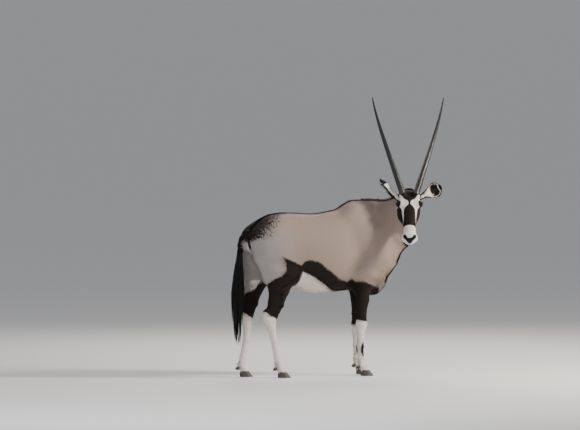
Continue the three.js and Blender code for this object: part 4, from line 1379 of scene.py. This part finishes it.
def long_coat(p):
    x, y, z = p.T
    q = folded(to_head(p))
    head = (HEAD(p) < 10) & (q[:, 0] > -30)
    lateral, rise = neck_place(p)
    top = TRUNK_AT(x, 1) - z
    marks = markings(p)
    border = np.minimum(np.abs(marks["dark"]), np.abs(marks["white"]))
    back = beside_spine(p)
    zones = {
        "mane": ((back < 14) & (rise > 20) & (x > 330) & (x < 590) & ~head, 28, 0.8, 16),
        "line of the back": ((back < 11) & (top < 16) & (x < 400) & (x > -500), 19, 0.6, 12),
        "throat": ((np.abs(lateral - 16) < 34) & (rise < -40) & (x > 400) & ~head, 22, 0.3, 5),
        "chest": (ramp(x, 340, 80) * ramp(-z, -760, 120), 20, 0.3, 3),
        "belly": (ramp(-z, -690, 70) * (np.abs(x) < 330) * (np.abs(y) < 110), 17, 0.28, 2.5),
        "buttocks": (ramp(-x, 400, 60) * (z > 600) * (z < 960) * (np.abs(y) < 110), 20, 0.26, 3),
        "marks' borders": ((border < 10) & (z > 120) & ~head, 17, 0.2, 5),
        "elbows": (np.clip(1 - np.hypot(x - 216, z - 630) / 70, 0, 1), 20, 0.3, 4),
        "fetlocks": ((z > 55) & (z < 118) & (marks["on_back"] > 0), 15, 0.35, 8),
        "poll": (head & (q[:, 0] < 66) & (q[:, 2] > 30) & (q[:, 1] < 60), 10, 0.25, 9),
        "jaw": (head & (q[:, 2] < -70) & (q[:, 0] < 200), 13, 0.3, 5),
        "face's borders": (head & (border < 3), 4.5, 0.1, 7),
    }
    length, lift, density = np.full(len(p), 14.0), np.full(len(p), 0.16), np.zeros(len(p))
    for zone, zone_length, zone_lift, share in zones.values():
        better = zone * share > density
        length[better], lift[better], density[better] = zone_length, zone_lift, (zone * share)[better]
    return length, lift, density


# No tuft grows at an eye, on the nose's pad or below the coronet.
def can_grow(p):
    clear = np.linalg.norm(folded(to_head(p)) - EYE_CENTRE, axis=1) > 25
    pad = markings(p)["wet"] < 1
    return clear & ~pad & (p[:, 2] > 44)


# Pieces of the coat: style, name, number of pieces and how far the tufts stray from the lie
COAT_PIECES = [(short_coat, "coat_short", 4, 0.2), (long_coat, "coat_long", 2, 0.16)]
TUFTS_PER_PIECE = 19500


def coat(name, style, densities, spread):
    p, normals, spots = spread_roots(densities, TUFTS_PER_PIECE)
    length, lift, _ = style(p)
    lie, weights = coat_lie(p, normals)
    lie = along_skin(lie + rng.normal(0, spread, lie.shape), normals)
    length = length * rng.uniform(0.7, 1.2, len(p))
    lift = np.clip(rng.normal(lift, 0.3 * lift), 0.03, 1.3)
    width = np.clip(length * 0.13, 0.8, 2.2)
    tuft_mesh(name, p, lie, normals, length, width, lift, spots, {**markings(p), **weights})


def build_coat():
    growing = can_grow(TRIANGLE_MIDDLES)
    for style, name, pieces, spread in COAT_PIECES:
        densities = style(TRIANGLE_MIDDLES)[2] * growing
        for part in range(pieces):
            coat(f"{name}_{part}", style, densities, spread)


# The tail's hair: locks of fine strands that leave the dock and gather at their tips
TAIL_HAIR = [
    (215, 22), (300, 40), (400, 47), (500, 52), (590, 55), (700, 43), (800, 30), (858, 23), (960, 26),
]
TAIL_STEPS, TAIL_SIDES = 9, 3
TAIL_LOCKS = ((64, 34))
DOCK_LOW, HAIR_LOW, HAIR_HIGH = 858, 700, 955
STRAND_RADIUS = 1.5


def tail_middle(z):
    hung = -572 - 18 * np.sin(np.pi * (DOCK_LOW - np.minimum(z, DOCK_LOW)) / 900)
    return np.where(z < DOCK_LOW, hung, np.interp(z, [DOCK_LOW, 905, 950, 985], [-572, -566, -552, -524]))


# A strand's faces: a cap at the root, its sides and a point at the tip
def strand_pattern():
    around = [(k, (k + 1) % TAIL_SIDES) for k in range(TAIL_SIDES)]
    last = (TAIL_STEPS - 1) * TAIL_SIDES
    pattern = [(0, 1, 2)]
    for low in range(0, last, TAIL_SIDES):
        pattern += [(low + a + TAIL_SIDES, low + b + TAIL_SIDES, low + b, low + a) for a, b in around]
    return pattern + [(last + TAIL_SIDES, last + b, last + a) for a, b in around]


def build_tail(locks, strands):
    table = np.array(TAIL_HAIR, float)
    ends = rng.uniform(0, 1, locks) ** 1.6
    lock_tip = TAIL_TIP_HEIGHT + 330 * ends
    lock_turn = rng.uniform(0, 2 * math.pi, locks)
    lock_sway = rng.normal(0, 7, locks)
    lock_out = np.sqrt(rng.uniform(0.02, 1, locks)) * (0.55 + 0.4 * ends)
    which = np.repeat(np.arange(locks), strands)
    count = len(which)
    start = rng.uniform(HAIR_LOW, HAIR_HIGH, count)
    tip = lock_tip[which] + rng.uniform(0, 60, count)
    turn = lock_turn[which] + rng.normal(0, 0.35, count)
    out = np.clip(lock_out[which] + rng.normal(0, 0.12, count), 0.03, 0.98)
    wave, phase = rng.uniform(1, 4, count), rng.uniform(0, 6.3, count)
    each = TAIL_STEPS * TAIL_SIDES + 1
    points = np.empty((count, each, 3))
    for i in range(TAIL_STEPS + 1):
        t = i / TAIL_STEPS
        z = start + (tip - start) * t
        gather = max(1 - 1.7 * max(t - 0.35, 0), 0.1)
        # The strands of a lock draw together towards its tip.
        angle = lock_turn[which] + (turn - lock_turn[which]) * gather
        reach = np.interp(z, table[:, 0], table[:, 1]) * (lock_out[which] + (out - lock_out[which]) * gather)
        reach = reach * np.clip(0.75 + 0.6 * t, 0, 1)
        sway = wave * np.sin(phase + 5 * t) * gather + lock_sway[which] * t * t
        x, y = tail_middle(z) + (reach * np.cos(angle) + sway), reach * np.sin(angle) + 0.6 * sway
        if i == TAIL_STEPS:
            points[:, -1] = np.column_stack([x, y, z])
            continue
        thick = STRAND_RADIUS * (1 - 0.55 * t) * (1 if i else 0.5)
        for k in range(TAIL_SIDES):
            turned = angle + 2 * math.pi * k / TAIL_SIDES
            ring = np.column_stack([x + thick * np.cos(turned), y + thick * np.sin(turned), z])
            points[:, i * TAIL_SIDES + k] = ring
    places = np.column_stack([(turn / (2 * math.pi)) % 1, (start - HAIR_LOW) / (HAIR_HIGH - HAIR_LOW)]) * 0.99
    rise = np.linspace(0, PATCH, each)
    spots = (places[:, None, :] + np.column_stack([rise * 0.5, rise])).reshape(-1, 2)
    points = points.reshape(-1, 3)
    tail = strand_object("tail_hair", points, strand_pattern(), each, spots, TAIL, {})
    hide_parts("tail_tuft")


# Hair in and round the ears, and the lashes
def hair_at(name, roots, ways, normals, length, width, lift, dark):
    count = len(roots)
    normals = np.array(normals)
    normals = normals / np.linalg.norm(normals, axis=1)[:, None]
    ways = along_skin(np.array(ways), normals)
    values = {
        "dark": np.where(dark, -20, 20), "white": np.where(dark, 20, -20), "rump": 20, "soft": RAGGED_HEAD,
        "pale": 0.5, "wet": 20,
    }
    attributes = {key: np.broadcast_to(value, count) for key, value in values.items()}
    places = np.column_stack([np.linspace(0.01, 0.98, count), rng.uniform(0.01, 0.98, count)])
    tuft_mesh(name, np.array(roots), ways, normals, length, width, lift, places, attributes)


EAR_TUFTS = 2600
EAR_TUFT_WIDTH = 1.1
# The share of tufts that are spread over the ear, and not set along its rim; and the share outside
SPREAD_SHARE, OUTSIDE_SHARE = 0.62, 0.42
# How far the tufts turn to the rim: at the rim, outside and in the cup, where they turn away from it
RIM_LEAN, OUTER_LEAN, CUP_LEAN = 1.1, 0.35, -0.7


def ear_hair(side):
    base, along, length, face, _ = ear_axes(side)
    roots, ways, normals, dark, lengths, lifts = [], [], [], [], [], []
    step = 0.004
    for _ in range(EAR_TUFTS):
        spread = rng.random() < SPREAD_SHARE
        v = rng.uniform(-1, 1) if spread else math.copysign(rng.uniform(0.93, 1), rng.random() - 0.5)
        u = rng.uniform(0.04, 0.985)
        outside = rng.random() < OUTSIDE_SHARE
        depth = OUTSIDE if outside else INSIDE
        here = ear_point(side, u, v, depth)
        down = ear_point(side, min(u + step, 0.999), v, depth) - here
        over = ear_point(side, u, v + step, depth) - here
        normal = np.cross(down, over)
        outward = here - (base + along * length * u + face * EARS[side]["width"] * CUP_MIDDLE)
        if (normal.dot(outward) > 0) != outside:
            normal = -normal
        edge = math.copysign(1, v) * over / (np.linalg.norm(over) + 1e-9)
        lean = (OUTER_LEAN if outside else CUP_LEAN) if spread else RIM_LEAN
        roots.append(here)
        ways.append(down / (np.linalg.norm(down) + 1e-9) + edge * lean)
        normals.append(normal)
        dark.append(min(ear_marks(side, u, v, outside)) < rng.normal(0, 2.5))
        # Longer hair fringes the cup.
        inner = not outside and abs(v) > 0.4 and u < 0.75
        lengths.append(rng.uniform(17, 27) if inner else rng.uniform(6, 10))
        lifts.append(rng.uniform(0.15, 0.4) if inner else rng.uniform(0.05, 0.2))
    name = f"ear_{LABELS[side]}_hair"
    hair_at(name, roots, ways, normals, lengths, EAR_TUFT_WIDTH, lifts, dark)


LASHES = 44
LASH_LENGTH, LASH_WIDTH, LASH_LIFT = 10.0, 0.7, 0.1


def lashes(side):
    roots, ways, normals = [], [], []
    for u in np.linspace(-14, 14, LASHES):
        lid = 1 + lid_height(u)
        high = u * math.sin(-LID_SLANT) + (lid + 1) * math.cos(LID_SLANT)
        ahead = u * math.cos(LID_SLANT) + (lid + 1) * math.sin(LID_SLANT)
        out = math.sqrt(max((EYE_RADIUS + 2.2) ** 2 - ahead ** 2 - high ** 2, 9))
        roots.append(from_head((EYE_CENTRE + (ahead, out, high)) * (1, side, 1)))
        ways.append(HEAD_TURN @ (0.15 + u * 0.02, side * 0.9, 0.5))
        normals.append(HEAD_TURN @ (0, side * -0.35, 1.0))
    dark = np.full(LASHES, True)
    name = f"lashes_{LABELS[side]}"
    hair_at(name, roots, ways, normals, LASH_LENGTH, LASH_WIDTH, LASH_LIFT, dark)


build_coat()
for side in LABELS:
    ear_hair(side)
    lashes(side)
build_tail(*TAIL_LOCKS)


# The floor, the light and the camera
PIXELS_PER_METRE = 146
IMAGE_WIDTH, IMAGE_HEIGHT = 580, 430
CAMERA_TURN, CAMERA_TILT = math.radians(22), math.radians(2)
LENS, SENSOR = 400, 36
ORIGIN_PIXEL = (318, 376)
FLOOR_SIZE = 4000
FLOOR_COLOR, WORLD_COLOR = (0.70, 0.69, 0.67, 1), (0.90, 0.93, 1.0, 1)
WORLD_STRENGTH = 0.45
LIGHTS_AIM = (0, 0, 0.8)
# Lights: name, place, size, power and colour
LIGHTS = [
    ("key", (4.0, -2.6, 3.6), 0.9, 500, (1.0, 0.92, 0.82)),
    ("fill", (-3.6, -4.4, 2.6), 3.5, 150, (0.90, 0.94, 1.0)),
    ("back", (1.5, 4.0, 4.0), 2.5, 160, (1.0, 0.95, 0.88)),
]


def build_camera():
    level = math.cos(CAMERA_TILT)
    look = Vector((math.sin(CAMERA_TURN) * level, math.cos(CAMERA_TURN) * level, -math.sin(CAMERA_TILT)))
    right = Vector((math.cos(CAMERA_TURN), -math.sin(CAMERA_TURN), 0))
    up = right.cross(look)
    distance = IMAGE_WIDTH / PIXELS_PER_METRE * LENS / SENSOR
    aside = (IMAGE_WIDTH / 2 - ORIGIN_PIXEL[0]) / PIXELS_PER_METRE
    above = (ORIGIN_PIXEL[1] - IMAGE_HEIGHT / 2) / PIXELS_PER_METRE
    origin = Vector(placed((0, 0, 0)))
    camera_data = bpy.data.cameras.new("camera")
    camera_data.lens, camera_data.sensor_width = LENS, SENSOR
    camera_data.clip_end = FLOOR_SIZE
    camera = bpy.data.objects.new("camera", camera_data)
    bpy.context.collection.objects.link(camera)
    turn = Matrix((right, up, -look)).transposed().to_4x4()
    turn.translation = origin + right * aside + up * above - look * distance
    camera.matrix_world = turn
    bpy.context.scene.camera = camera


def build_stage():
    n = Nodes("floor_plain")
    n.shader.inputs["Base Color"].default_value = FLOOR_COLOR
    n.surface(Roughness=0.9)
    bpy.ops.mesh.primitive_plane_add(size=FLOOR_SIZE, location=(0, 0, 0))
    floor = bpy.context.object
    floor.name = "floor"
    floor.data.materials.append(n.material)
    floor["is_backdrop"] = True
    world = bpy.data.worlds.new("studio")
    world.use_nodes = True
    background = world.node_tree.nodes["Background"]
    background.inputs["Color"].default_value = WORLD_COLOR
    background.inputs["Strength"].default_value = WORLD_STRENGTH
    bpy.context.scene.world = world
    for name, place, size, power, color in LIGHTS:
        data = bpy.data.lights.new(name, "AREA")
        data.size, data.energy, data.color = size, power, color
        light = bpy.data.objects.new(name, data)
        bpy.context.collection.objects.link(light)
        light.location = place
        light.rotation_euler = (Vector(LIGHTS_AIM) - Vector(place)).to_track_quat("-Z", "Y").to_euler()


build_camera()
build_stage()

boxes = {"cad": cad_box, "visual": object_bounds()}
{key: [list(map(float, corner)) for corner in value] for key, value in boxes.items()}
